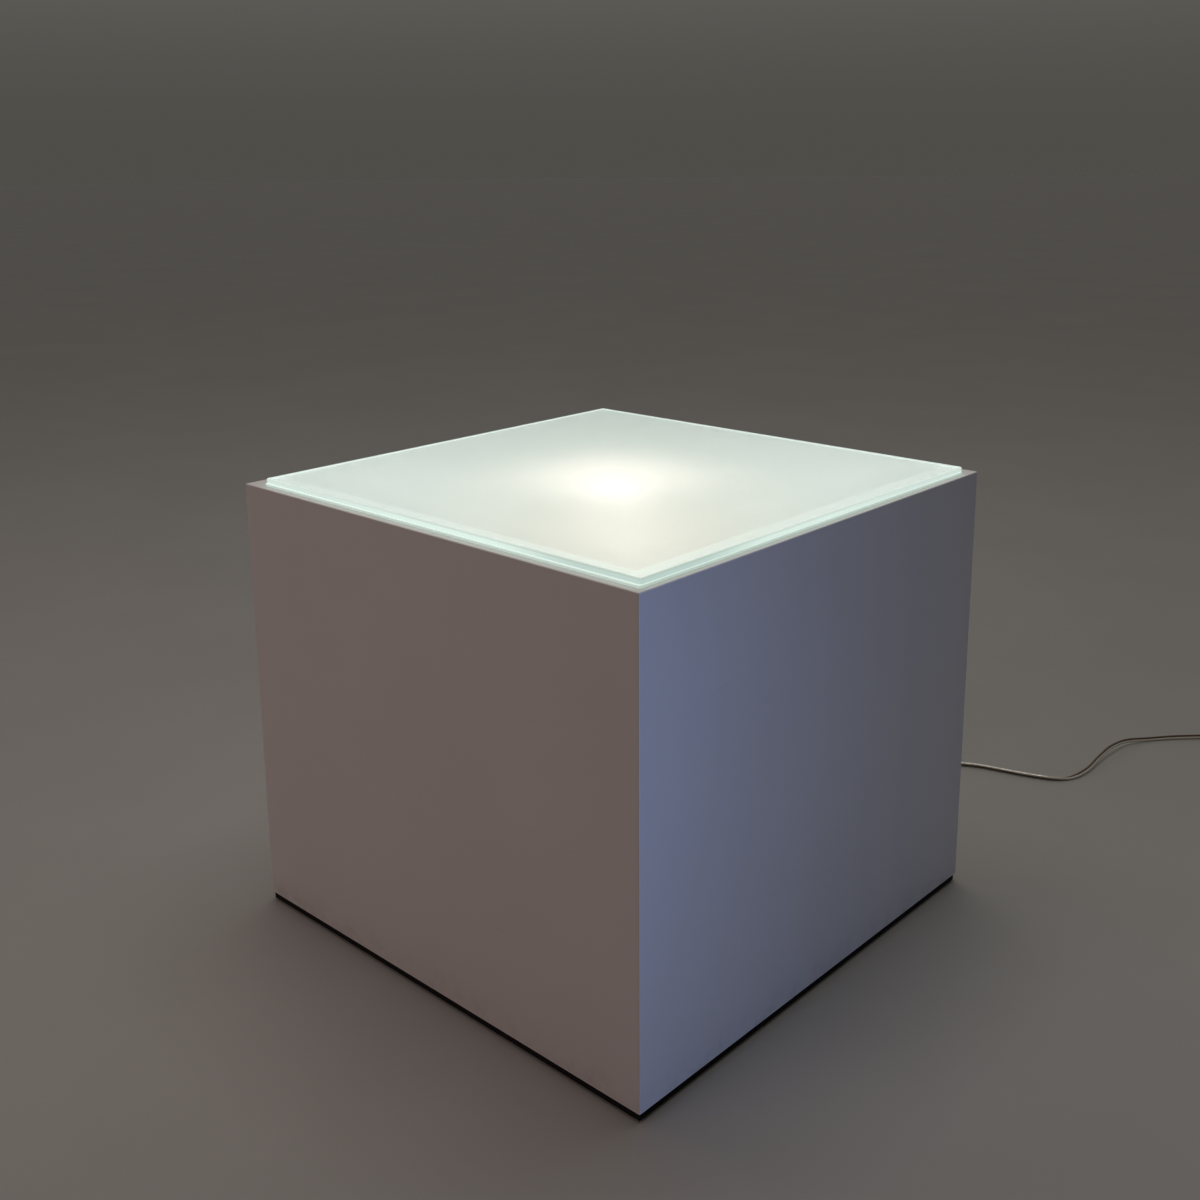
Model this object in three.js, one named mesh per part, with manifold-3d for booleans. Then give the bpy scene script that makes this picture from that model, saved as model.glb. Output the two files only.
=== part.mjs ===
// Internally lit display plinth: a white square box with two loose sheets on its rim.
// A lamp on a cross rail shines up through the opal sheet and the clear sheet above it.
// Millimetres, +Z up. The origin is on the floor, under the middle of the box.
// -Y is the front, +X the right side, and the power cord leaves low in the rear panel.
import * as THREE from 'three';
import { mergeVertices } from 'three/addons/utils/BufferGeometryUtils.js';
import Module from 'manifold-3d';

const wasm = await Module();
wasm.setup();

// ---- Driving dimensions ----
const OUTER = 610;
const PANEL_HEIGHT = 525;
const PANEL_THICKNESS = 18;
const FLOOR_GAP = 10;
const CLEARANCE = 0.3;
const MITRE_GAP = 0.2;

const LEDGE_WIDTH = 10;
const LEDGE_HEIGHT = 40;
const POST_SIZE = 30;
const DECK_THICKNESS = 18;

const SKID_RECESS = 2;
const SKID_WIDTH = 45;
const GLIDE_RADIUS = 15;
const GLIDE_HEIGHT = 1;

const OPAL_SIZE = 576;
const OPAL_THICKNESS = 3;
const OPAL_SHIFT = [10.5, -8.5];
const CLEAR_SIZE = 574;
const CLEAR_THICKNESS = 6;
const CLEAR_SHIFT = [12, -9];

const RAIL_TOP = 320;
const RAIL_WIDTH = 90;
const RAIL_THICKNESS = 18;
const RAIL_CLEAT = { depth: 18, width: 100, height: 30 };
const RAIL_SCREW_INSET = 9;

const HOLDER_SCREW_RADIUS = 35;
const SCREW = { head: 3.8, headHeight: 2.4, shank: 1.8, tip: 3, hole: 2.2 };
const RAIL_SCREW_LENGTH = 36;
const HOLDER_SCREW_LENGTH = 24;
const CLEAT_HOLE_DEPTH = 25;
const DRILL_LENGTH = 120;
const TURN_SEGMENTS = 36;

const CORD_DIAMETER = 6.5;
const CORD_SIDES = 10;
const GLAND_HEIGHT = 45;
const GLAND_HOLE_RADIUS = 10;
const GLAND_FLANGE = { radius: 14, thickness: 2 };
const GLAND_INSIDE = 5;
const NUT_SETBACK = 0.5;
const RELIEF_LENGTH = 38;

const COIL_CENTRE = [434, 956];
const COIL_RADIUS = 36;
const COIL_LAYERS = 2;
const COIL_TURNS_ACROSS = 2;

const CLIP = { slack: 0.6, wall: 1.8, ear: 8, earThickness: 3, width: 7 };

const PLUG = { length: 34, width: 25, thickness: 16, tailWidth: 9 };
const PLUG_ANGLE = Math.PI - 0.17;
const BLADE = { length: 17, width: 6.35, thickness: 1.5, spacing: 12.7 };

// ---- Sizes that follow from them ----
const HALF = OUTER / 2;
const INNER_HALF = HALF - PANEL_THICKNESS;
const RIM = FLOOR_GAP + PANEL_HEIGHT;
const DECK_TOP = FLOOR_GAP + DECK_THICKNESS;
const FIT_HALF = INNER_HALF - CLEARANCE;
const CORD_RADIUS = CORD_DIAMETER / 2;
const CORD_ON_FLOOR = CORD_RADIUS + 0.15;
const CORD_ON_DECK = DECK_TOP + CORD_RADIUS + CLEARANCE;
const COIL_HALF_WIDTH = COIL_TURNS_ACROSS * CORD_RADIUS + CLEARANCE;
const COIL_TOP = COIL_LAYERS * CORD_DIAMETER + 2 * CLEARANCE;
const RELIEF_END = HALF + GLAND_FLANGE.thickness + 2 * CLEARANCE + RELIEF_LENGTH;

// ---- Materials ----
function finish(color, roughness, metalness = 0, extra = {}) {
  return new THREE.MeshStandardMaterial({ color, roughness, metalness, ...extra });
}

const whitePaint = finish(0xe6e4df, 0.5);
const bareTimber = finish(0xc9a878, 0.7);
const plywood = finish(0xb99667, 0.7);
const blackPaint = finish(0x0c0c0d, 0.7);
const greyFelt = finish(0x3a3a3a, 0.95);
const opalAcrylic = finish(0xeef3ee, 0.45, 0, { emissive: 0xf4f6ea, emissiveIntensity: 0.6 });
const clearAcrylic = finish(0xcfeae0, 0.08, 0, { transparent: true, opacity: 0.35 });
const porcelain = finish(0xf2f0e8, 0.2);
const brass = finish(0xc9a14a, 0.3, 1);
const nickel = finish(0xc8c4ba, 0.3, 1);
const zincSteel = finish(0xb9bbbd, 0.35, 1);
const whitePlastic = finish(0xeceae4, 0.4);
const opalGlass = finish(0xfff6e2, 0.3, 0, { emissive: 0xffe9c0, emissiveIntensity: 1 });
const blackPlastic = finish(0x151515, 0.5);
const cordVinyl = finish(0xd9d6cc, 0.45);

const plinth = new THREE.Group();

// ---- Helpers ----
function add(name, geometry, material, position = [0, 0, 0], turnZ = 0, parent = plinth) {
  const mesh = new THREE.Mesh(geometry, material);
  mesh.name = name;
  mesh.position.set(...position);
  mesh.rotation.z = turnZ;
  parent.add(mesh);
  return mesh;
}

function block(name, material, size, position, turnZ = 0, parent = plinth) {
  return add(name, new THREE.BoxGeometry(...size), material, position, turnZ, parent);
}

// A plan outline, drawn in X and Y, raised along +Z.
function prism(outline, height) {
  const shape = new THREE.Shape(outline.map(([x, y]) => new THREE.Vector2(x, y)));
  return new THREE.ExtrudeGeometry(shape, { depth: height, bevelEnabled: false });
}

// A turned piece about +Z. The profile holds [radius, height] points from the bottom up.
function turned(profile, segments = TURN_SEGMENTS) {
  const points = profile.map(([radius, height]) => new THREE.Vector2(radius, height));
  return new THREE.LatheGeometry(points, segments).rotateX(Math.PI / 2);
}

// The same, lying along +Y.
function turnedAlongY(profile, segments = TURN_SEGMENTS) {
  return turned(profile, segments).rotateX(-Math.PI / 2);
}

function roundBar(radius, height, segments = 24) {
  return new THREE.CylinderGeometry(radius, radius, height, segments).rotateX(Math.PI / 2);
}

function cordTube(points, steps) {
  const curve = new THREE.CatmullRomCurve3(points.map((p) => new THREE.Vector3(...p)));
  const corners = Array.from({ length: CORD_SIDES }, (_, i) => (i * 2 * Math.PI) / CORD_SIDES);
  const section = corners.map((a) => new THREE.Vector2(Math.cos(a), Math.sin(a)));
  const shape = new THREE.Shape(section.map((p) => p.multiplyScalar(CORD_RADIUS)));
  return new THREE.ExtrudeGeometry(shape, { steps, extrudePath: curve, bevelEnabled: false });
}

function toSolid(geometry) {
  const bare = geometry.clone();
  bare.deleteAttribute('normal');
  bare.deleteAttribute('uv');
  const merged = mergeVertices(bare, 1e-4);
  const vertProperties = new Float32Array(merged.attributes.position.array);
  const triVerts = new Uint32Array(merged.index.array);
  return new wasm.Manifold(new wasm.Mesh({ numProp: 3, vertProperties, triVerts }));
}

function fromSolid(solid) {
  const mesh = solid.getMesh();
  const geometry = new THREE.BufferGeometry();
  geometry.setAttribute('position', new THREE.BufferAttribute(mesh.vertProperties, 3));
  geometry.setIndex(new THREE.BufferAttribute(mesh.triVerts, 1));
  geometry.computeVertexNormals();
  return geometry;
}

// Cuts each tool out of a piece. The tools are already in the piece's own frame.
function drilled(geometry, tools) {
  const cut = tools.reduce((solid, tool) => solid.subtract(toSolid(tool)), toSolid(geometry));
  return fromSolid(cut);
}

// ---- Casing: four mitred panels, glued to the ledges and posts inside ----
const SIDES = ['front', 'right', 'rear', 'left'];

function panelGeometry() {
  const end = HALF - MITRE_GAP;
  const innerEnd = end - PANEL_THICKNESS;
  const outline = [
    [-end, -HALF],
    [end, -HALF],
    [innerEnd, -INNER_HALF],
    [-innerEnd, -INNER_HALF],
  ];
  return prism(outline, PANEL_HEIGHT);
}

// A cutter along +Y for everything the gland passes through.
function glandBore() {
  return new THREE.CylinderGeometry(GLAND_HOLE_RADIUS, GLAND_HOLE_RADIUS, DRILL_LENGTH, 32);
}

function glandHole() {
  return glandBore().translate(0, -HALF, GLAND_HEIGHT - FLOOR_GAP);
}

SIDES.forEach((side, i) => {
  const plain = panelGeometry();
  const geometry = side === 'rear' ? drilled(plain, [glandHole()]) : plain;
  add(`panel_${side}`, geometry, whitePaint, [0, 0, FLOOR_GAP], (i * Math.PI) / 2);
});

SIDES.forEach((side, i) => {
  const fullLength = 2 * FIT_HALF;
  const isSide = i % 2 === 1;
  const length = isSide ? fullLength - 2 * (LEDGE_WIDTH + CLEARANCE) : fullLength;
  const angle = (i * Math.PI) / 2;
  const reach = FIT_HALF - LEDGE_WIDTH / 2;
  const place = [Math.sin(angle) * reach, -Math.cos(angle) * reach, RIM - LEDGE_HEIGHT / 2];
  block(`ledge_${side}`, whitePaint, [length, LEDGE_WIDTH, LEDGE_HEIGHT], place, angle);
});

const CORNERS = [
  ['front_left', -1, -1],
  ['front_right', 1, -1],
  ['rear_right', 1, 1],
  ['rear_left', -1, 1],
];

CORNERS.forEach(([corner, sx, sy]) => {
  const bottom = DECK_TOP + CLEARANCE;
  const height = RIM - LEDGE_HEIGHT - CLEARANCE - bottom;
  const reach = FIT_HALF - POST_SIZE / 2;
  const place = [sx * reach, sy * reach, bottom + height / 2];
  block(`post_${corner}`, bareTimber, [POST_SIZE, POST_SIZE, height], place);
});

block(
  'bottom_deck',
  plywood,
  [2 * FIT_HALF, 2 * FIT_HALF, DECK_THICKNESS],
  [0, 0, FLOOR_GAP + DECK_THICKNESS / 2],
);

// ---- Recessed black base, on four felt glides ----
const SKID_BOTTOM = GLIDE_HEIGHT + CLEARANCE;
const SKID_HEIGHT = FLOOR_GAP - CLEARANCE - SKID_BOTTOM;
const SKID_HALF = HALF - SKID_RECESS;

SIDES.forEach((side, i) => {
  const isSide = i % 2 === 1;
  const length = 2 * SKID_HALF - (isSide ? 2 * (SKID_WIDTH + CLEARANCE) : 0);
  const angle = (i * Math.PI) / 2;
  const reach = SKID_HALF - SKID_WIDTH / 2;
  const place = [Math.sin(angle) * reach, -Math.cos(angle) * reach, SKID_BOTTOM + SKID_HEIGHT / 2];
  block(`skid_${side}`, blackPaint, [length, SKID_WIDTH, SKID_HEIGHT], place, angle);
});

CORNERS.forEach(([corner, sx, sy]) => {
  const reach = SKID_HALF - SKID_WIDTH / 2;
  const place = [sx * reach, sy * reach, GLIDE_HEIGHT / 2];
  add(`glide_${corner}`, roundBar(GLIDE_RADIUS, GLIDE_HEIGHT), greyFelt, place);
});

// ---- The two loose sheets ----
const OPAL_BOTTOM = RIM + CLEARANCE;
const CLEAR_BOTTOM = OPAL_BOTTOM + OPAL_THICKNESS + CLEARANCE;

block(
  'diffuser_sheet',
  opalAcrylic,
  [OPAL_SIZE, OPAL_SIZE, OPAL_THICKNESS],
  [...OPAL_SHIFT, OPAL_BOTTOM + OPAL_THICKNESS / 2],
);
block(
  'top_sheet',
  clearAcrylic,
  [CLEAR_SIZE, CLEAR_SIZE, CLEAR_THICKNESS],
  [...CLEAR_SHIFT, CLEAR_BOTTOM + CLEAR_THICKNESS / 2],
);

// ---- Lamp rail, resting on a cleat at each side ----
const RAIL_BOTTOM = RAIL_TOP - RAIL_THICKNESS;
const RAIL_SCREW_X = FIT_HALF - RAIL_SCREW_INSET;

function screwHole(x, y, z, length = DRILL_LENGTH) {
  return roundBar(SCREW.hole, length, 16).translate(x, y, z);
}

const railScrewPlaces = [-RAIL_SCREW_X, RAIL_SCREW_X];
const holderScrewPlaces = [-HOLDER_SCREW_RADIUS, HOLDER_SCREW_RADIUS];

const railBody = new THREE.BoxGeometry(2 * FIT_HALF, RAIL_WIDTH, RAIL_THICKNESS);
const railHoles = [
  ...railScrewPlaces.map((x) => screwHole(x, 0, 0)),
  ...holderScrewPlaces.map((y) => screwHole(0, y, 0)),
];
add('lamp_rail', drilled(railBody, railHoles), plywood, [0, 0, RAIL_BOTTOM + RAIL_THICKNESS / 2]);

[['left', -1], ['right', 1]].forEach(([side, sx]) => {
  const { depth, width, height } = RAIL_CLEAT;
  const reach = FIT_HALF - depth / 2;
  const body = new THREE.BoxGeometry(depth, width, height);
  const blindHole = screwHole(sx * (RAIL_SCREW_X - reach), 0, height / 2, 2 * CLEAT_HOLE_DEPTH);
  const top = RAIL_BOTTOM - CLEARANCE;
  add(`rail_cleat_${side}`, drilled(body, [blindHole]), bareTimber, [sx * reach, 0, top - height / 2]);
});

// A round-head wood screw. Its head rests on the height given, and its shank points down.
function screw(name, x, y, seat, length) {
  const { head, headHeight, shank, tip } = SCREW;
  const profile = [
    [0, -length],
    [shank, -length + tip],
    [shank, 0],
    [head, 0],
    [head * 0.85, headHeight * 0.6],
    [head * 0.45, headHeight],
    [0, headHeight],
  ];
  add(name, turned(profile, 20), zincSteel, [x, y, seat + CLEARANCE]);
}

screw('rail_screw_left', -RAIL_SCREW_X, 0, RAIL_TOP, RAIL_SCREW_LENGTH);
screw('rail_screw_right', RAIL_SCREW_X, 0, RAIL_TOP, RAIL_SCREW_LENGTH);

// ---- Porcelain lampholder, with its screw shell and centre contact ----
const HOLDER_BOTTOM = RAIL_TOP + CLEARANCE;
const HOLDER_FLANGE_TOP = 10;
const HOLDER_RADIUS = 42;

function holderBody() {
  const profile = [
    [0, 0],
    [HOLDER_RADIUS, 0],
    [HOLDER_RADIUS, 8],
    [HOLDER_RADIUS - 2, HOLDER_FLANGE_TOP],
    [29, HOLDER_FLANGE_TOP],
    [24, 15],
    [21.5, 26],
    [21, 44],
    [19.5, 46],
    [14.4, 46],
    [14.4, 14],
    [0, 14],
  ];
  return drilled(turned(profile, 48), holderScrewPlaces.map((y) => screwHole(0, y, 0)));
}

add('lampholder_body', holderBody(), porcelain, [0, 0, HOLDER_BOTTOM]);

const shellProfile = [
  [0, 14.3],
  [14.1, 14.3],
  [14.1, 42],
  [13.6, 42],
  [13.6, 15.3],
  [0, 15.3],
];
add('lampholder_shell', turned(shellProfile), brass, [0, 0, HOLDER_BOTTOM]);
add('lampholder_contact', roundBar(4, 1.5), brass, [0, 0, HOLDER_BOTTOM + 16.35]);
holderScrewPlaces.forEach((y, i) => {
  const seat = HOLDER_BOTTOM + HOLDER_FLANGE_TOP;
  screw(`holder_screw_${i + 1}`, 0, y, seat, HOLDER_SCREW_LENGTH);
});

// ---- LED bulb: contact, screw cap, plastic neck and opal globe ----
const bulbContactProfile = [
  [0, 17.4],
  [3.6, 17.4],
  [4.6, 18.4],
  [8.6, 20.4],
  [0, 20.4],
];
const bulbCapProfile = [
  [0, 20.7],
  [9, 20.7],
  [12.6, 24],
  [13.1, 28],
  [13.1, 46.2],
  [0, 46.2],
];
const GLOBE_START = 86.3;
const GLOBE_RADIUS = 30;
const GLOBE_CENTRE = 101;
const bulbNeckProfile = [
  [0, 46.5],
  [13.8, 46.5],
  [15, 52],
  [20, 66],
  [25, 78],
  [26.4, 86],
  [0, 86],
];

function globeProfile() {
  const startAngle = Math.asin((GLOBE_START - GLOBE_CENTRE) / GLOBE_RADIUS);
  const steps = 12;
  const rows = Array.from({ length: steps }, (_, i) => {
    const angle = startAngle + ((Math.PI / 2 - startAngle) * i) / steps;
    return [GLOBE_RADIUS * Math.cos(angle), GLOBE_CENTRE + GLOBE_RADIUS * Math.sin(angle)];
  });
  return [[0, GLOBE_START], ...rows, [0, GLOBE_CENTRE + GLOBE_RADIUS]];
}

add('bulb_contact', turned(bulbContactProfile), blackPlastic, [0, 0, HOLDER_BOTTOM]);
add('bulb_cap', turned(bulbCapProfile), nickel, [0, 0, HOLDER_BOTTOM]);
add('bulb_neck', turned(bulbNeckProfile), whitePlastic, [0, 0, HOLDER_BOTTOM]);
add('bulb_globe', turned(globeProfile()), opalGlass, [0, 0, HOLDER_BOTTOM]);

// ---- Lead inside the box, from the lampholder to the gland, under two clips ----
const LEAD_ON_RAIL = RAIL_TOP + CORD_RADIUS + CLEARANCE;
const GLAND_INNER_END = FIT_HALF - GLAND_INSIDE;

const innerRoute = [
  [HOLDER_RADIUS + CLEARANCE, 0, LEAD_ON_RAIL + 1.5],
  [58, 0, LEAD_ON_RAIL + 1],
  [80, 0, LEAD_ON_RAIL],
  [105, 0, LEAD_ON_RAIL],
  [132, 3, LEAD_ON_RAIL],
  [152, 16, LEAD_ON_RAIL + 1],
  [160, 36, LEAD_ON_RAIL + 3],
  [162, 54, LEAD_ON_RAIL - 5],
  [163, 64, LEAD_ON_RAIL - 26],
  [163, 67, 250],
  [161, 70, 180],
  [156, 76, 115],
  [142, 88, 68],
  [116, 106, 42],
  [84, 124, CORD_ON_DECK + 2],
  [50, 142, CORD_ON_DECK + 0.5],
  [20, 162, CORD_ON_DECK],
  [3, 188, CORD_ON_DECK],
  [0, 212, CORD_ON_DECK],
  [0, 232, CORD_ON_DECK + 1.5],
  [0, 252, GLAND_HEIGHT - 5],
  [0, 266, GLAND_HEIGHT - 0.5],
  [0, 274, GLAND_HEIGHT],
  [0, GLAND_INNER_END - CLEARANCE, GLAND_HEIGHT],
];
add('inner_lead', cordTube(innerRoute, 76), cordVinyl);

// A saddle clip with one nailed ear, seated at the origin and straddling a lead along +Y.
function clipGeometry() {
  const { slack, wall, ear, earThickness, width } = CLIP;
  const inside = CORD_RADIUS + slack;
  const outside = inside + wall;
  const spring = CORD_RADIUS + CLEARANCE;
  const shape = new THREE.Shape();
  shape.moveTo(-inside, 0);
  shape.lineTo(-inside, spring);
  shape.absarc(0, spring, inside, Math.PI, 0, true);
  shape.lineTo(inside, 0);
  shape.lineTo(outside + ear, 0);
  shape.lineTo(outside + ear, earThickness);
  shape.lineTo(outside, earThickness);
  shape.lineTo(outside, spring);
  shape.absarc(0, spring, outside, 0, Math.PI, false);
  shape.lineTo(-outside, 0);
  const options = { depth: width, bevelEnabled: false, curveSegments: 10 };
  const geometry = new THREE.ExtrudeGeometry(shape, options);
  return geometry.translate(0, 0, -width / 2).rotateX(Math.PI / 2);
}

add('clip_rail', clipGeometry(), whitePlastic, [100, 0, RAIL_TOP + CLEARANCE], Math.PI / 2);
add('clip_deck', clipGeometry(), whitePlastic, [0, 212, DECK_TOP + CLEARANCE]);

// ---- Gland in the rear panel, its nut inside, and the strain relief outside ----
const flangeStart = HALF + CLEARANCE;
const flangeEnd = flangeStart + GLAND_FLANGE.thickness;
const barrelRadius = GLAND_HOLE_RADIUS - CLEARANCE;
const glandProfile = [
  [0, GLAND_INNER_END],
  [barrelRadius, GLAND_INNER_END],
  [barrelRadius, flangeStart],
  [GLAND_FLANGE.radius, flangeStart],
  [GLAND_FLANGE.radius - 0.6, flangeEnd],
  [0, flangeEnd],
];
const nutStart = GLAND_INNER_END + NUT_SETBACK;
const nutEnd = INNER_HALF - CLEARANCE;
const reliefStart = flangeEnd + CLEARANCE;
const reliefProfile = [
  [0, reliefStart],
  [6.4, reliefStart],
  [6, reliefStart + 8],
  [4.4, RELIEF_END],
  [0, RELIEF_END],
];

// A hexagonal nut with a round bore, drawn about +Y.
function nutGeometry() {
  const radius = GLAND_FLANGE.radius;
  const hexagon = new THREE.CylinderGeometry(radius, radius, nutEnd - nutStart, 6);
  return drilled(hexagon, [glandBore()]).translate(0, (nutStart + nutEnd) / 2, 0);
}

add('cord_gland', turnedAlongY(glandProfile), whitePlastic, [0, 0, GLAND_HEIGHT]);
add('gland_nut', nutGeometry(), whitePlastic, [0, 0, GLAND_HEIGHT]);
add('strain_relief', turnedAlongY(reliefProfile, 24), cordVinyl, [0, 0, GLAND_HEIGHT]);

// ---- Power cord on the floor, and its coil with the plug on top ----
const outerRoute = [
  [0, RELIEF_END + CLEARANCE, GLAND_HEIGHT],
  [0, 354, GLAND_HEIGHT],
  [0, 366, GLAND_HEIGHT - 1.5],
  [1, 383, 38],
  [3, 402, 26],
  [6, 422, 13],
  [9, 444, 5.5],
  [13, 466, CORD_ON_FLOOR],
  [22, 498, CORD_ON_FLOOR],
  [40, 534, CORD_ON_FLOOR],
  [68, 567, CORD_ON_FLOOR],
  [106, 592, CORD_ON_FLOOR],
  [148, 611, CORD_ON_FLOOR],
  [173, 623, CORD_ON_FLOOR],
  [205, 632, CORD_ON_FLOOR],
  [242, 643, CORD_ON_FLOOR],
  [272, 657, CORD_ON_FLOOR],
  [290, 680, CORD_ON_FLOOR],
  [297, 716, 5],
  [296, 758, 9],
  [296, 802, 11],
  [302, 846, 8],
  [320, 884, CORD_ON_FLOOR],
  [348, 919, CORD_ON_FLOOR],
  [377, 949, CORD_ON_FLOOR],
  [386.5, 958.5, CORD_ON_FLOOR],
];
add('cord_run', cordTube(outerRoute, 72), cordVinyl);

const coilProfile = [
  [COIL_RADIUS - COIL_HALF_WIDTH, 0.15],
  [COIL_RADIUS + COIL_HALF_WIDTH, 0.15],
  [COIL_RADIUS + COIL_HALF_WIDTH, COIL_TOP],
  [COIL_RADIUS - COIL_HALF_WIDTH, COIL_TOP],
  [COIL_RADIUS - COIL_HALF_WIDTH, 0.15],
];
add('cord_coil', turned(coilProfile, 40), cordVinyl, [...COIL_CENTRE, 0]);

// The plug points along its own +Y, from the cord's end at the origin.
function plugOutline() {
  const { length, width, tailWidth } = PLUG;
  const half = width / 2;
  return [
    [-tailWidth / 2, 0],
    [tailWidth / 2, 0],
    [half - 3, 9],
    [half, 14],
    [half, length - 2],
    [half - 2, length],
    [-half + 2, length],
    [-half, length - 2],
    [-half, 14],
    [-half + 3, 9],
  ];
}

const PLUG_TAIL = [COIL_CENTRE[0] + 36, COIL_CENTRE[1] + 12];
const plug = new THREE.Group();
plug.position.set(...PLUG_TAIL, COIL_TOP + CLEARANCE);
plug.rotation.z = PLUG_ANGLE;
plinth.add(plug);

add('plug_body', prism(plugOutline(), PLUG.thickness), cordVinyl, [0, 0, 0], 0, plug);
[['left', -1], ['right', 1]].forEach(([side, sx]) => {
  const size = [BLADE.thickness, BLADE.length, BLADE.width];
  const y = PLUG.length + CLEARANCE + BLADE.length / 2;
  const place = [(sx * BLADE.spacing) / 2, y, PLUG.thickness / 2];
  block(`plug_blade_${side}`, brass, size, place, 0, plug);
});

export default plinth;
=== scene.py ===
"""Looks of the lit display plinth: camera, cord, casing, sheets, lamp, materials and light.

Everything is in metres, +Z up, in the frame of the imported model.
"""
import math

import bmesh
import bpy
from mathutils import Matrix, Vector


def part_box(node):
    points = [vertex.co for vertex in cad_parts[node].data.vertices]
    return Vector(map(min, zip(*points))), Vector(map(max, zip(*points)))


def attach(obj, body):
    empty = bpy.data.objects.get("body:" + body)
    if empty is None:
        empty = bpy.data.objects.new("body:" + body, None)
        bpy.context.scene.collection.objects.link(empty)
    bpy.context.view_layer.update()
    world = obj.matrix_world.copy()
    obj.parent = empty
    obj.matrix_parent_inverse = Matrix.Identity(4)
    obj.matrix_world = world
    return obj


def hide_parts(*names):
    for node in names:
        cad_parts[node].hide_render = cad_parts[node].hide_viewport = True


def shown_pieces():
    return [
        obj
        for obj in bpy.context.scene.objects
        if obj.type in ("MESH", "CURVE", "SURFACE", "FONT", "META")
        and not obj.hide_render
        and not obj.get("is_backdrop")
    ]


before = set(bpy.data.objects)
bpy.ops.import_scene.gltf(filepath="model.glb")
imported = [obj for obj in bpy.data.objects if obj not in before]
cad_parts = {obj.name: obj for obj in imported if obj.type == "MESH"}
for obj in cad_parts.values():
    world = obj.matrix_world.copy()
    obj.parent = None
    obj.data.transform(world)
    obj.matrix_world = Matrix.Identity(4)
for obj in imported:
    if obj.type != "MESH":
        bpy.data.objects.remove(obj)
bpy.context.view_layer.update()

MM = 0.001
SIDES = ("front", "right", "rear", "left")
CORNERS = ("front_left", "front_right", "rear_right", "rear_left")
SCENE = bpy.context.scene


# ---- Camera, at the photograph's viewing angle ----
CAMERA_PLACE = (1.0617, -1.1680, 0.9153)
CAMERA_AZIMUTH = math.radians(43.04)
CAMERA_PITCH = math.radians(-12.96)
CAMERA_ROLL = math.radians(-0.486)
CAMERA_LENS = 41.4
CAMERA_SHIFT = (0.00284, -0.1138)


def make_camera():
    data = bpy.data.cameras.new("camera")
    data.sensor_width = 36
    data.lens = CAMERA_LENS
    data.shift_x, data.shift_y = CAMERA_SHIFT
    camera = bpy.data.objects.new("camera", data)
    SCENE.collection.objects.link(camera)
    turn = Matrix.Rotation(CAMERA_AZIMUTH, 4, "Z")
    tilt = Matrix.Rotation(math.pi / 2 + CAMERA_PITCH, 4, "X")
    roll = Matrix.Rotation(CAMERA_ROLL, 4, "Z")
    camera.matrix_world = Matrix.Translation(CAMERA_PLACE) @ turn @ tilt @ roll
    SCENE.camera = camera


make_camera()


# ---- Mesh helpers ----
def ease(t):
    t = min(max(t, 0.0), 1.0)
    return t * t * (3 - 2 * t)


SHARP = 35


def finished(name, bm, materials, slot, replaces=(), body="plinth", smooth=SHARP):
    """Turns a bmesh into a named piece that rides on its body and stands for its CAD nodes.

    Edges that turn by more than `smooth` degrees stay sharp.
    """
    bmesh.ops.recalc_face_normals(bm, faces=bm.faces)
    mesh = bpy.data.meshes.new(name)
    bm.to_mesh(mesh)
    bm.free()
    mesh.shade_smooth()
    mesh.set_sharp_from_angle(angle=math.radians(smooth))
    for material in materials if isinstance(materials, (list, tuple)) else [materials]:
        mesh.materials.append(material)
    piece = bpy.data.objects.new(name, mesh)
    SCENE.collection.objects.link(piece)
    even = piece.modifiers.new("even_normals", "WEIGHTED_NORMAL")
    even.keep_sharp = True
    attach(piece, body)
    if replaces:
        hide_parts(*replaces)
    return piece


def soften(bm, width, segments=3, angle=30):
    """Rounds the edges that turn by more than an angle in degrees."""
    edges = [e for e in bm.edges if len(e.link_faces) == 2 and e.calc_face_angle() > math.radians(angle)]
    bmesh.ops.bevel(
        bm, geom=edges, offset=width, segments=segments, profile=0.5, affect="EDGES", clamp_overlap=True
    )
    bmesh.ops.remove_doubles(bm, verts=bm.verts, dist=1e-6)
    bm.normal_update()
    return bm


def middle_of(node):
    low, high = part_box(node)
    return (low + high) / 2


def cad_solid(node):
    """A CAD node's own solid, with its shared points merged and its flat faces whole."""
    bm = bmesh.new()
    bm.from_mesh(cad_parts[node].data)
    bmesh.ops.remove_doubles(bm, verts=bm.verts, dist=2e-6)
    bmesh.ops.dissolve_limit(bm, angle_limit=0.02, verts=bm.verts, edges=bm.edges)
    bm.normal_update()
    return bm


def lattice(rings, caps=True):
    """Joins rings of points, all of one length, into a skin. Each end gets a flat cap."""
    bm = bmesh.new()
    rows = [[bm.verts.new(p) for p in ring] for ring in rings]
    count = len(rows[0])
    for a, b in zip(rows, rows[1:]):
        for i in range(count):
            j = (i + 1) % count
            bm.faces.new((a[i], a[j], b[j], b[i]))
    if caps:
        bm.faces.new(list(reversed(rows[0])))
        bm.faces.new(rows[-1])
    return bm


def merged(bm, distance=1e-6):
    """Points that fall on each other become one, and faces without area go."""
    bmesh.ops.remove_doubles(bm, verts=bm.verts, dist=distance)
    bmesh.ops.dissolve_degenerate(bm, edges=bm.edges, dist=1e-7)
    return bm


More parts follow.
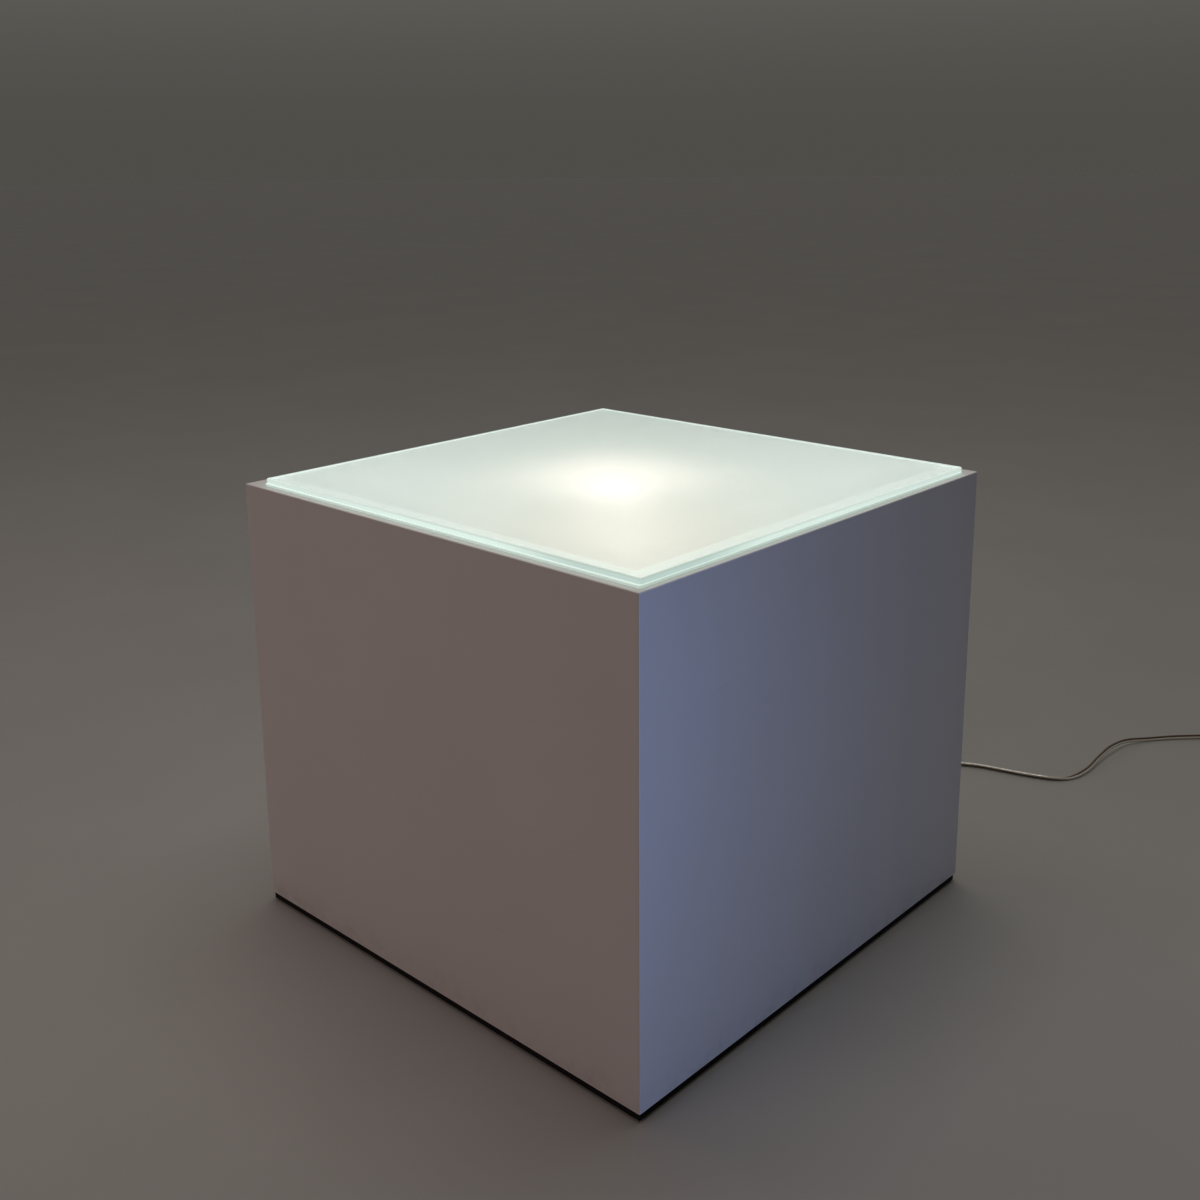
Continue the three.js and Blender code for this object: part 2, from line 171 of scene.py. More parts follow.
def rounded(outline, radius, steps=4):
    """An open or closed outline's corners, each eased over the radius. The first and last point stay."""
    points = [outline[0]]
    for before, corner, after in zip(outline, outline[1:], outline[2:]):
        a, c, b = Vector(before), Vector(corner), Vector(after)
        reach = min(radius, (a - c).length * 0.45, (b - c).length * 0.45)
        start = c + (a - c).normalized() * reach
        end = c + (b - c).normalized() * reach
        for i in range(steps + 1):
            t = i / steps
            points.append(tuple(start * (1 - t) ** 2 + c * (2 * t * (1 - t)) + end * t * t))
    points.append(outline[-1])
    return points


def rotated(bm, angle, axis):
    bmesh.ops.rotate(bm, verts=bm.verts, matrix=Matrix.Rotation(angle, 3, axis))
    return bm


def shifted(bm, vec):
    bmesh.ops.translate(bm, verts=bm.verts, vec=vec)
    return bm


def turned(profile, segments=64, centre=(0, 0, 0), along="Z", wobble=None):
    """A lathe piece. The profile holds (radius, height) points. wobble(angle, height) adds to the radius."""
    rings = []
    for radius, height in profile:
        ring = []
        for i in range(segments):
            angle = math.tau * i / segments
            r = radius + (wobble(angle, height) if wobble and radius > 0 else 0)
            ring.append(Vector((r * math.cos(angle), r * math.sin(angle), height)))
        rings.append(ring)
    bm = merged(lattice(rings, caps=False))
    if along == "Y":
        rotated(bm, -math.pi / 2, "X")
    return shifted(bm, Vector(centre))


def round_bar(radius, start, end, segments=32, along="Z"):
    """A plain round bar, used to cut a hole."""
    return turned([(0, start), (radius, start), (radius, end), (0, end)], segments, along=along)


def cut(piece, *tools):
    """Cuts each tool, a bmesh, out of a piece and keeps the result in its mesh."""
    for tool in tools:
        bmesh.ops.recalc_face_normals(tool, faces=tool.faces)
        mesh = bpy.data.meshes.new("cutter")
        tool.to_mesh(mesh)
        tool.free()
        cutter = bpy.data.objects.new("cutter", mesh)
        SCENE.collection.objects.link(cutter)
        piece.modifiers["even_normals"].show_viewport = False
        modifier = piece.modifiers.new("cut", "BOOLEAN")
        modifier.operation = "DIFFERENCE"
        modifier.solver = "EXACT"
        modifier.object = cutter
        bpy.context.view_layer.update()
        depsgraph = bpy.context.evaluated_depsgraph_get()
        result = bpy.data.meshes.new_from_object(piece.evaluated_get(depsgraph))
        piece.modifiers.remove(modifier)
        piece.modifiers["even_normals"].show_viewport = True
        old = piece.data
        piece.data = result
        bpy.data.objects.remove(cutter)
        bpy.data.meshes.remove(mesh)
        result.name = old.name
        bpy.data.meshes.remove(old)
        result.set_sharp_from_angle(angle=math.radians(SHARP))
    return piece


# ---- Node helper ----
class Nodes:
    """Adds nodes to a tree. Its place is the coordinate that they start from."""

    def __init__(self, tree, coordinate):
        self.tree = tree
        self.place = self.add("ShaderNodeTexCoord").outputs[coordinate]

    def add(self, kind, inputs=None, **settings):
        node = self.tree.nodes.new(kind)
        for key, value in settings.items():
            setattr(node, key, value)
        for key, value in (inputs or {}).items():
            if hasattr(value, "is_output"):
                self.tree.links.new(value, node.inputs[key])
            else:
                node.inputs[key].default_value = value
        return node

    def moved(self, offset=(0, 0, 0), turn=(0, 0, 0), scale=(1, 1, 1), source=None):
        inputs = {"Vector": source or self.place, "Location": offset, "Rotation": turn, "Scale": scale}
        return self.add("ShaderNodeMapping", inputs).outputs["Vector"]

    def noise(self, scale, detail=3.0, rough=0.5, source=None, distortion=0.0):
        inputs = {"Vector": source or self.place, "Scale": scale, "Detail": detail}
        inputs.update({"Roughness": rough, "Distortion": distortion})
        return self.add("ShaderNodeTexNoise", inputs).outputs["Fac"]

    def math(self, operation, a, b=0.0, c=0.0):
        return self.add("ShaderNodeMath", {0: a, 1: b, 2: c}, operation=operation).outputs[0]

    def times(self, a, b):
        return self.math("MULTIPLY", a, b)

    def vector(self, operation, inputs, output=0):
        return self.add("ShaderNodeVectorMath", inputs, operation=operation).outputs[output]

    def span(self, value, low, high, to_low=0.0, to_high=1.0, kind="SMOOTHSTEP"):
        inputs = {"Value": value, "From Min": low, "From Max": high, "To Min": to_low, "To Max": to_high}
        return self.add("ShaderNodeMapRange", inputs, interpolation_type=kind).outputs["Result"]

    def blend(self, factor, a, b):
        node = self.add("ShaderNodeMix", data_type="RGBA")
        for index, value in ((0, factor), (6, a), (7, b)):
            if hasattr(value, "is_output"):
                self.tree.links.new(value, node.inputs[index])
            else:
                node.inputs[index].default_value = value if index == 0 else (*value, 1.0)[:4]
        return node.outputs[2]

    def axes(self, source=None):
        node = self.add("ShaderNodeSeparateXYZ", {"Vector": source or self.place})
        return node.outputs["X"], node.outputs["Y"], node.outputs["Z"]


class Look(Nodes):
    """A procedural material: one Principled shader and the nodes that feed it."""

    def __init__(self, name, **values):
        self.material = bpy.data.materials.new(name)
        self.material.use_nodes = True
        super().__init__(self.material.node_tree, "Object")
        self.shader = self.tree.nodes["Principled BSDF"]
        for socket, value in values.items():
            self.shader.inputs[socket.replace("_", " ")].default_value = value

    def set(self, socket, value):
        self.tree.links.new(value, self.shader.inputs[socket])

    def rough(self, *span):
        """The roughness, from a value's range to its own."""
        self.set("Roughness", self.span(*span, "LINEAR"))

    def bump(self, height, distance, strength=1.0):
        inputs = {"Height": height, "Distance": distance, "Strength": strength}
        previous = self.shader.inputs["Normal"].links
        if previous:
            inputs["Normal"] = previous[0].from_socket
        self.set("Normal", self.add("ShaderNodeBump", inputs).outputs["Normal"])


# ---- Materials ----
def white_paint(bottom):
    """Satin white paint: a rolled stipple, faint clouding, scuffs low down and a painted highlight along the
    lower edge.
    """
    look = Look("white_paint", Roughness=0.5, Specular_IOR_Level=0.35)
    stipple = look.noise(620, 3.0, 0.55)
    rolled = look.noise(90, 2.0, 0.5)
    cloud = look.noise(5.5, 4.0, 0.6)
    body = look.blend(look.span(cloud, 0.35, 0.68), (0.80, 0.795, 0.785), (0.785, 0.779, 0.768))
    _, _, z = look.axes()
    low = look.span(z, 0.045, 0.008)
    smudge = look.times(low, look.span(look.noise(38, 5.0, 0.7), 0.42, 0.75))
    body = look.blend(look.times(smudge, 0.45), body, (0.46, 0.44, 0.41))
    rub = look.noise(1, 3.0, 0.6, look.moved(scale=(14, 14, 150)))
    rub = look.times(look.span(rub, 0.67, 0.74), look.span(look.noise(7, 2.0), 0.52, 0.66))
    body = look.blend(look.times(rub, 0.16), body, (0.5, 0.49, 0.47))
    # Painted highlight: a lighter line along the panel's lower arris, where it catches the light.
    painted_edge_highlight = look.span(z, bottom + 1.7 * MM, bottom + 0.9 * MM)
    look.set("Base Color", look.blend(painted_edge_highlight, body, (0.97, 0.965, 0.95)))
    look.rough(cloud, 0.3, 0.7, 0.44, 0.56)
    look.bump(stipple, 0.00014, 0.7)
    look.bump(rolled, 0.0004, 0.4)
    return look.material


def timber(name, grain, tone):
    """Planed pine, its grain along the axis given (0, 1 or 2)."""
    look = Look(name, Roughness=0.62, Specular_IOR_Level=0.3)
    scale = [70.0, 70.0, 70.0]
    scale[grain] = 3.0
    stretched = look.moved(scale=tuple(scale))
    rings = look.noise(1.0, 4.0, 0.55, stretched, 0.6)
    fibre = look.noise(7.0, 3.0, 0.6, stretched)
    dark = tuple(c * f for c, f in zip(tone, (0.66, 0.56, 0.45)))
    body = look.blend(look.span(rings, 0.4, 0.66), tone, dark)
    body = look.blend(look.times(fibre, 0.35), body, tuple(c * 0.8 for c in tone))
    look.set("Base Color", body)
    look.rough(rings, 0.3, 0.7, 0.55, 0.72)
    look.bump(fibre, 0.0002, 0.5)
    return look.material


def plywood():
    """Birch plywood: long soft figure on its faces, and plies 1.5 mm apart on its edges."""
    look = Look("birch_plywood", Roughness=0.6, Specular_IOR_Level=0.3)
    stretched = look.moved(scale=(2.2, 26, 26))
    figure = look.noise(1.0, 5.0, 0.6, stretched, 1.1)
    fibre = look.noise(1.0, 3.0, 0.6, look.moved(scale=(60, 900, 900)))
    face = look.blend(look.span(figure, 0.35, 0.68), (0.66, 0.5, 0.31), (0.52, 0.36, 0.2))
    face = look.blend(look.times(fibre, 0.3), face, (0.45, 0.32, 0.18))
    _, _, z = look.axes()
    ply = look.math("PINGPONG", z, 0.0015)
    stripe = look.span(ply, 0.0006, 0.0009)
    edge = look.blend(stripe, (0.56, 0.41, 0.24), (0.3, 0.19, 0.1))
    normal = look.add("ShaderNodeNewGeometry").outputs["True Normal"]
    _, _, up = look.axes(normal)
    on_face = look.span(look.math("ABSOLUTE", up), 0.5, 0.8)
    look.set("Base Color", look.blend(on_face, edge, face))
    look.rough(figure, 0.3, 0.7, 0.52, 0.7)
    look.bump(fibre, 0.00015, 0.4)
    return look.material


def black_paint():
    """Matt black paint with a little dust on it. On the base skids its black is also painted shade, the deep
    shade under the box.
    """
    look = Look("black_paint", Roughness=0.75, Specular_IOR_Level=0.2)
    grain = look.noise(450, 4.0, 0.6)
    dust = look.times(look.span(look.noise(60, 6.0, 0.75), 0.55, 0.8), 0.5)
    look.set("Base Color", look.blend(dust, (0.008, 0.008, 0.009), (0.06, 0.056, 0.05)))
    look.rough(grain, 0.2, 0.8, 0.62, 0.85)
    look.bump(grain, 0.0002, 0.5)
    return look.material


def grey_felt():
    """Pressed felt, its fibres light and dark."""
    look = Look("grey_felt", Roughness=0.97, Specular_IOR_Level=0.1, Sheen_Weight=0.4)
    fibres = look.noise(900, 5.0, 0.8, distortion=2.0)
    tone = look.blend(look.span(fibres, 0.35, 0.65), (0.12, 0.12, 0.125), (0.3, 0.3, 0.31))
    look.set("Base Color", tone)
    look.bump(fibres, 0.0004, 0.9)
    return look.material


# The lit sheets' glow. The brightest spot lies off the middle, and its patches are laid out along the line
# from there to the front right corner.
DIAGONAL = math.sqrt(0.5)
GLOW_MIDDLE = (0.059, -0.065)
GLOW_OUTER = (0.9, 0.98, 0.93)
GLOW_SHADE = (0.8, 0.885, 0.82)
GLOW_WARM = (1.06, 0.76, 0.5)
GLOW_HALO = (1.6, 1.49, 1.36)
GLOW_CORE = (1.9, 1.77, 1.57)
# Each patch of glow: colour, strength, distance from the middle towards the front right corner, depth that
# way, and width across.
GLOW_PATCHES = (
    (GLOW_WARM, 0.31, 0.2, 0.3, 0.185),
    (GLOW_HALO, 0.34, -0.055, 0.06, 0.13),
    (GLOW_HALO, 0.85, -0.066, 0.115, 0.09),
    (GLOW_CORE, 0.26, 0.075, 0.19, 0.051),
    (GLOW_CORE, 0.58, -0.002, 0.047, 0.032),
)
# What the ledge under the sheet does: how far the glow turns plain over it, the raised level on it with a
# brighter line along its inner edge, and the dip beside it.
LEDGE_PLAIN = 0.45
LEDGE_RAISED = 0.035
LEDGE_LINE = 0.03
LEDGE_DIP = -0.075
LEDGE_DIP_REACH = 0.045
OPAL_EDGE_LOW = (0.36, 0.44, 0.39)
OPAL_EDGE_HIGH = (0.54, 0.67, 0.61)
# A clear edge's glow near the front right corner, along the middle of a side, and at the far corners.
EDGE_GLOWS = ((0.44, 0.57, 0.53), (0.65, 0.8, 0.73), (0.57, 0.69, 0.65))
ARRIS_GLOWS = ((0.43, 0.53, 0.47), (0.56, 0.65, 0.59), (0.6, 0.69, 0.63))
BACK_ARRIS_GLOW = (1.02, 1.05, 1.0)


def opal_acrylic(ledge_edge, sheet_middle, sheet_half):
    """Milk-white sheet, lit from below: a warm core front right of the middle, a halo, and cooler corners."""
    look = Look("opal_acrylic", Roughness=0.38, Base_Color=(0.45, 0.47, 0.46, 1), Emission_Strength=1.0)
    x0, y0 = GLOW_MIDDLE

    def patch(away, depth, width):
        centre = (x0 + away * DIAGONAL, y0 - away * DIAGONAL, 0)
        source = look.vector("SUBTRACT", {0: look.place, 1: centre})
        turned_place = look.moved(turn=(0, 0, math.radians(45)), source=source)
        scaled = look.moved(scale=(1 / depth, 1 / width, 0), source=turned_place)
        length = look.vector("LENGTH", {0: scaled}, "Value")
        return look.math("EXPONENT", look.times(look.math("POWER", length, 2.0), -1.0))

    def square_distance(source):
        x, y, _ = look.axes(source)
        return look.math("MAXIMUM", look.math("ABSOLUTE", x), look.math("ABSOLUTE", y))

    x, y, _ = look.axes()
    back_left = look.span(look.math("SUBTRACT", y, x), -0.1, 0.6)
    ground = look.blend(back_left, GLOW_OUTER, GLOW_SHADE)
    glow = ground
    for colour, strength, away, depth, width in GLOW_PATCHES:
        glow = look.blend(look.times(patch(away, depth, width), strength), glow, colour)
    square = square_distance(look.place)
    over_ledge = look.span(square, ledge_edge - 0.002, ledge_edge + 0.001)
    glow = look.blend(look.times(over_ledge, LEDGE_PLAIN), glow, ground)
    line = look.times(over_ledge, look.span(square, ledge_edge + 0.005, ledge_edge + 0.001))
    dip = look.span(square, ledge_edge - LEDGE_DIP_REACH, ledge_edge - 0.003, 0.0, LEDGE_DIP, "LINEAR")
    dip = look.times(dip, look.math("SUBTRACT", 1.0, over_ledge))
    raised = look.span(square, ledge_edge + 0.004, ledge_edge + 0.016, LEDGE_RAISED, 0.0)
    raised = look.times(over_ledge, raised)
    shade = look.math("ADD", look.math("ADD", raised, look.times(line, LEDGE_LINE)), dip)
    mottle = look.span(look.noise(14, 4.0, 0.6), 0.3, 0.7, -0.012, 0.012, "LINEAR")
    level = look.math("ADD", look.math("ADD", shade, mottle), 1.0)
    scaled = look.vector("SCALE", {0: glow, "Scale": level})
    from_middle = look.moved(offset=(-sheet_middle.x, -sheet_middle.y, 0))
    rim = look.span(square_distance(from_middle), sheet_half - 3.5 * MM, sheet_half - 2 * MM)
    look.set("Emission Color", look.blend(rim, scaled, OPAL_EDGE_HIGH))
    fine = look.noise(500, 3.0)
    look.bump(fine, 0.00005, 0.3)
    look.rough(fine, 0.3, 0.7, 0.34, 0.44)
    return look.material


def lit_edge(name, base, roughness):
    """A sheet's sawn edge. glow_by_height or glow_by_place sets its glow, the light led along the sheet."""
    look = Look(name, Base_Color=(*base, 1), Specular_IOR_Level=0.5, Emission_Strength=1.0)
    look.saw = look.noise(1.0, 3.0, 0.6, look.moved(scale=(420, 420, 25)))
    look.rough(look.saw, 0.3, 0.7, roughness, roughness + 0.1)
    look.bump(look.saw, 0.00002, 0.3)
    return look


def set_glow(look, glow, level):
    """The glow of an edge, scaled by a level and a little uneven with the saw's marks."""
    dimmed = look.times(level, look.span(look.saw, 0.35, 0.75, 1.02, 0.96, "LINEAR"))
    glow = look.vector("SCALE", {0: glow, "Scale": dimmed})
    look.set("Emission Color", glow)
    return look.material


def glow_by_height(look, low_glow, high_glow, low, high):
    _, _, z = look.axes()
    return set_glow(look, look.blend(look.span(z, low, high), low_glow, high_glow), 1.0)


def glow_by_place(look, glows, box, low_line, back_glow=None):
    """Glows that follow one another from the front right corner, with a brighter line low on the edge."""
    near, middle, far = glows
    low, high = box
    corner = Vector((high.x, low.y, low.z))
    away = look.vector("DISTANCE", {0: look.place, 1: corner}, "Value")
    glow = look.blend(look.span(away, 0.07, 0.2), near, middle)
    glow = look.blend(look.span(away, 0.28, 0.5), glow, far)
    x, y, z = look.axes()
    if back_glow:
        at_back = look.span(y, high.y - 3 * MM, high.y - 2 * MM)
        at_left = look.span(x, low.x + 3 * MM, low.x + 2 * MM)
        glow = look.blend(look.math("MAXIMUM", at_back, at_left), glow, back_glow)
    return set_glow(look, glow, look.span(z, low.z + 0.9 * MM, low.z + 2 * MM, 1 + low_line, 1.0))


def clear_acrylic():
    """Clear sheet with a pale green depth and a few hair scratches."""
    look = Look("clear_acrylic", Roughness=0.02, Transmission_Weight=1.0, IOR=1.49)
    look.shader.inputs["Base Color"].default_value = (0.975, 1.0, 0.99, 1)
    hair = look.noise(1.0, 2.0, 0.5, look.moved(turn=(0, 0, 0.6), scale=(3, 900, 1)))
    patch = look.span(look.noise(9, 3.0), 0.5, 0.7)
    scratch = look.times(look.span(hair, 0.68, 0.74), patch)
    wipe = look.noise(16, 4.0, 0.65, distortion=0.8)
    wiped = look.span(wipe, 0.35, 0.75, 0.015, 0.045, "LINEAR")
    look.set("Roughness", look.math("MULTIPLY_ADD", scratch, 0.12, wiped))
    volume = look.add("ShaderNodeVolumeAbsorption", {"Color": (0.42, 0.86, 0.76, 1), "Density": 5.0})
    output = look.tree.nodes["Material Output"]
    look.tree.links.new(volume.outputs["Volume"], output.inputs["Volume"])
    return look.material


def porcelain():
    """White glaze, faintly clouded, with a few specks."""
    look = Look("porcelain", Roughness=0.14, Coat_Weight=0.6, Coat_Roughness=0.05)
    speck = look.span(look.noise(300, 2.0), 0.7, 0.8)
    cloud = look.span(look.noise(25, 3.0), 0.35, 0.7)
    body = look.blend(cloud, (0.82, 0.81, 0.77), (0.77, 0.755, 0.71))
    look.set("Base Color", look.blend(look.times(speck, 0.4), body, (0.42, 0.36, 0.3)))
    look.rough(cloud, 0, 1, 0.1, 0.2)
    look.bump(look.noise(120, 2.0), 0.0002, 0.2)
    return look.material


def metal(name, bright, dull, low, high, brush):
    """A metal with fine brushing along Z or round it, and patches of tarnish."""
    look = Look(name, Metallic=1.0)
    lines = look.noise(1.0, 3.0, 0.6, look.moved(scale=brush))
    patch = look.span(look.noise(130, 4.0, 0.65), 0.38, 0.7)
    look.set("Base Color", look.blend(patch, bright, dull))
    wear = look.math("ADD", look.times(patch, 0.6), look.times(lines, 0.4))
    look.rough(wear, 0, 1, low, high)
    look.bump(lines, 0.00004, 0.5)
    return look.material


def moulded(name, tone, low=0.32, high=0.46):
    """Moulded plastic with a fine spark-eroded grain."""
    look = Look(name, Specular_IOR_Level=0.45)
    grain = look.noise(1500, 2.0, 0.6)
    cloud = look.span(look.noise(40, 3.0), 0.3, 0.7)
    look.set("Base Color", look.blend(cloud, tone, tuple(c * 0.93 for c in tone)))
    look.rough(grain, 0.2, 0.8, low, high)
    look.bump(grain, 0.00005, 0.5)
    return look.material


def opal_globe():
    """The lit globe: brightest round its middle, a little dimmer at its neck."""
    look = Look("opal_globe", Base_Color=(0.8, 0.78, 0.72, 1), Roughness=0.25, Emission_Strength=7.0)
    _, _, z = look.axes()
    up = look.span(z, 0.405, 0.44)
    cloud = look.noise(60, 2.0)
    warm = look.blend(look.times(cloud, 0.3), (1.0, 0.86, 0.66), (1.0, 0.9, 0.74))
    look.set("Emission Color", look.blend(up, (0.8, 0.62, 0.42), warm))
    look.rough(cloud, 0.3, 0.7, 0.2, 0.32)
    return look.material


CORD_WIDTH = 6.5 * MM
CORD_THICKNESS = 3.5 * MM


def cord_core(name, strand, gap, metallic):
    """Stranded wire seen through clear flexible vinyl: fine slanting strands under a glossy coat, with
    painted shade in the grooves between them.
    """
    look = Look(name, Metallic=metallic, Coat_Weight=1.0, Coat_Roughness=0.09, Coat_IOR=1.5)
    uv = look.add("ShaderNodeTexCoord").outputs["UV"]
    round_it, along, _ = look.axes(uv)
    phase = look.math("MULTIPLY_ADD", along, 95.0, look.times(round_it, 14.0))
    wave = look.math("SINE", look.times(phase, math.tau))
    strands = look.span(wave, -0.9, 0.7)
    stain = look.span(look.noise(55, 4.0, 0.6), 0.35, 0.7)
    # Painted shade: the gap colour darkens the grooves between the strands.
    body = look.blend(strands, gap, strand)
    dull = tuple(c * 0.7 for c in strand)
    look.set("Base Color", look.blend(look.times(stain, 0.4), body, dull))
    look.rough(strands, 0, 1, 0.5, 0.3)
    look.bump(wave, 0.00012, 0.6)
    return look.material


def pale_floor():
    """Plain pale screed with a faint mottle."""
    look = Look("pale_floor", Roughness=0.6, Specular_IOR_Level=0.3)
    cloud = look.span(look.noise(2.2, 4.0, 0.6), 0.3, 0.7)
    look.set("Base Color", look.blend(cloud, (0.64, 0.625, 0.6), (0.61, 0.595, 0.57)))
    fine = look.noise(180, 3.0)
    look.rough(fine, 0.2, 0.8, 0.52, 0.68)
    look.bump(fine, 0.0002, 0.15)
    return look.material


LEDGE_INNER_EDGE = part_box("ledge_right")[0].x
WHITE = white_paint(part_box("panel_front")[0].z)
PINE_Z = timber("pine_upright", 2, (0.74, 0.55, 0.34))
PINE_Y = timber("pine_lying", 1, (0.72, 0.52, 0.32))
PLY = plywood()
BLACK_PAINT_AND_SHADE = black_paint()
FELT = grey_felt()
OPAL_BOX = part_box("diffuser_sheet")
CLEAR_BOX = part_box("top_sheet")
OPAL_MIDDLE = middle_of("diffuser_sheet")
OPAL = opal_acrylic(LEDGE_INNER_EDGE, OPAL_MIDDLE, OPAL_BOX[1].x - OPAL_MIDDLE.x)
CLEAR = clear_acrylic()
OPAL_EDGE = glow_by_height(
    lit_edge("opal_acrylic_edge", (0.5, 0.54, 0.52), 0.4),
    OPAL_EDGE_LOW,
    OPAL_EDGE_HIGH,
    OPAL_BOX[0].z + 1.4 * MM,
    OPAL_BOX[1].z - 0.4 * MM,
)
CLEAR_EDGE = glow_by_place(
    lit_edge("clear_acrylic_edge", (0.4, 0.52, 0.48), 0.3), EDGE_GLOWS, CLEAR_BOX, low_line=0.04
)
CLEAR_ARRIS = glow_by_place(
    lit_edge("clear_acrylic_arris", (0.3, 0.33, 0.32), 0.2), ARRIS_GLOWS, CLEAR_BOX, 0.0, BACK_ARRIS_GLOW
)
PORCELAIN = porcelain()
BRASS = metal("brass", (0.83, 0.63, 0.28), (0.55, 0.38, 0.17), 0.2, 0.42, (500, 500, 3000))
NICKEL = metal("nickel", (0.74, 0.71, 0.65), (0.56, 0.53, 0.48), 0.16, 0.34, (400, 400, 4000))
ZINC = metal("zinc_steel", (0.68, 0.69, 0.7), (0.48, 0.49, 0.5), 0.28, 0.5, (2500, 2500, 800))
WHITE_PLASTIC = moulded("white_plastic", (0.8, 0.79, 0.76))
BLACK_PLASTIC = moulded("black_plastic", (0.02, 0.02, 0.022), 0.2, 0.35)
IVORY_VINYL = moulded("ivory_vinyl", (0.74, 0.71, 0.63), 0.3, 0.42)
GLOBE = opal_globe()
# Each core's second colour is painted shade in the grooves between its strands.
TINNED = cord_core("tinned_strands", (0.92, 0.88, 0.79), (0.55, 0.51, 0.43), 0.35)
COPPER = cord_core("copper_strands", (0.2, 0.12, 0.07), (0.07, 0.042, 0.026), 0.35)


# ---- Cord: two stranded cores side by side in clear vinyl ----
CORD_CENTRE_HEIGHT = 3.4 * MM
CORD_CLEARANCE = 0.4 * MM
# A lifted cord stops settling over this range of heights.
SETTLE_LOW = 8 * MM
SETTLE_RANGE = 14 * MM
CORD_WEB = 1.05 * MM
CORD_STEP = 2.6 * MM
SECTION_POINTS = 24
# Routes in mm, as (x, y, height). The outer one starts at the strain relief, the inner one at the lampholder.
# fmt: off
OUTER_ROUTE_MM = [
    (0, 345.9, 45), (0, 354, 45), (0, 366, 43.5), (1, 383, 38), (3, 402, 26), (6, 422, 13), (9, 444, 5.5),
    (13, 466, 3.4), (22, 498, 3.4), (40, 534, 3.4), (68, 567, 3.4), (106, 592, 3.4), (148, 611, 3.4),
    (173, 623, 3.4), (205, 632, 3.4), (242, 643, 3.4), (272, 657, 3.4), (290, 680, 3.4), (297, 716, 5),
    (296, 758, 9), (296, 802, 11), (302, 846, 8), (320, 884, 3.4), (348, 919, 3.4), (377, 949, 3.4),
]
INNER_ROUTE_MM = [
    (39, 0, 325.05), (58, 0, 324.55), (80, 0, 323.55), (105, 0, 323.55), (132, 3, 323.55),
    (152, 16, 324.55), (160, 36, 326.55), (162, 54, 318.55), (163, 64, 297.55), (163, 67, 250),
    (161, 70, 180), (156, 76, 115), (142, 88, 68), (116, 106, 42), (84, 124, 33.55), (50, 142, 32.05),
    (20, 162, 31.55), (3, 188, 31.55), (0, 212, 31.55), (0, 232, 33.05), (0, 252, 40), (0, 266, 44.5),
    (0, 274, 45), (0, 285, 45),
]
# fmt: on
# The coil, clockwise from above: (turns so far, radius mm, height mm).
# fmt: off
COIL_START = math.radians(136)
COIL_LEVELS = [
    (0.0, 39.25, 3.3), (0.88, 39.25, 3.3), (1.06, 32.75, 3.3), (1.78, 32.75, 3.3), (1.97, 32.75, 9.6),
    (2.86, 32.75, 9.6), (3.05, 39.25, 9.6), (3.78, 39.25, 9.6), (4.0, 38.2, 15.8), (4.3267, 37.9, 21.9),
]
# fmt: on
COIL_POINTS_PER_TURN = 18
# Roll from lying flat, in degrees, by distance along the cord in metres.
OUTER_ROLL = [(0, 8), (0.06, 15), (0.17, 62), (0.45, 66), (0.53, -45), (0.62, -62), (1.79, -62), (1.83, -4)]
NO_ROLL = [(0, 0), (2, 0)]


def coil_point(turns):
    before = max(level for level in COIL_LEVELS if level[0] <= turns + 1e-9)
    after = min((level for level in COIL_LEVELS if level[0] > turns + 1e-9), default=before)
    share = ease((turns - before[0]) / (after[0] - before[0])) if after != before else 0
    radius = before[1] + (after[1] - before[1]) * share
    height = before[2] + (after[2] - before[2]) * share
    angle = COIL_START - turns * math.tau
    centre = middle_of("cord_coil") / MM
    return (centre.x + radius * math.cos(angle), centre.y + radius * math.sin(angle), height)


def smooth_path(points, step):
    """Points evenly spaced on a centripetal Catmull-Rom curve through the ones given."""
    ends = [points[0] * 2 - points[1], *points, points[-1] * 2 - points[-2]]
    dense = []
    for a, b, c, d in zip(ends, ends[1:], ends[2:], ends[3:]):
        t1 = (b - a).length ** 0.5
        t2 = t1 + (c - b).length ** 0.5
        t3 = t2 + (d - c).length ** 0.5
        for i in range(24):
            t = t1 + (t2 - t1) * i / 24
            ab = a + (b - a) * (t / t1)
            bc = b + (c - b) * ((t - t1) / (t2 - t1))
            cd = c + (d - c) * ((t - t2) / (t3 - t2))
            abc = ab + (bc - ab) * (t / t2)
            bcd = bc + (cd - bc) * ((t - t1) / (t3 - t1))
            dense.append(abc + (bcd - abc) * ((t - t1) / (t2 - t1)))
    dense.append(points[-1])
    total = sum((b - a).length for a, b in zip(dense, dense[1:]))
    count = math.ceil(total / step)
    result, walked, target = [dense[0]], 0.0, total / count
    for a, b in zip(dense, dense[1:]):
        span = (b - a).length
        while walked + span >= target * len(result) - 1e-12 and len(result) < count:
            result.append(a.lerp(b, (target * len(result) - walked) / span))
        walked += span
    result.append(dense[-1])
    return result, total


def value_at(keys, where):
    for (a, va), (b, vb) in zip(keys, keys[1:]):
        if where <= b:
            return va + (vb - va) * ease((where - a) / (b - a))
    return keys[-1][1]


def cord_section():
    """Angles and distances of a two-core outline from its middle."""
    core = CORD_THICKNESS / 2
    apart = CORD_WIDTH / 2 - core
    section = []
    for i in range(SECTION_POINTS):
        angle = math.tau * i / SECTION_POINTS
        c, s = abs(math.cos(angle)), math.sin(angle)
        inside = core**2 - (apart * s) ** 2
        reach = apart * c + math.sqrt(inside) if inside > 0 else CORD_WEB
        section.append((angle, max(reach, CORD_WEB)))
    return section


def half_height(roll):
    """How high the flat cord's middle lies over what it rests on."""
    core = CORD_THICKNESS / 2
    return core + (CORD_WIDTH / 2 - core) * abs(math.sin(roll))


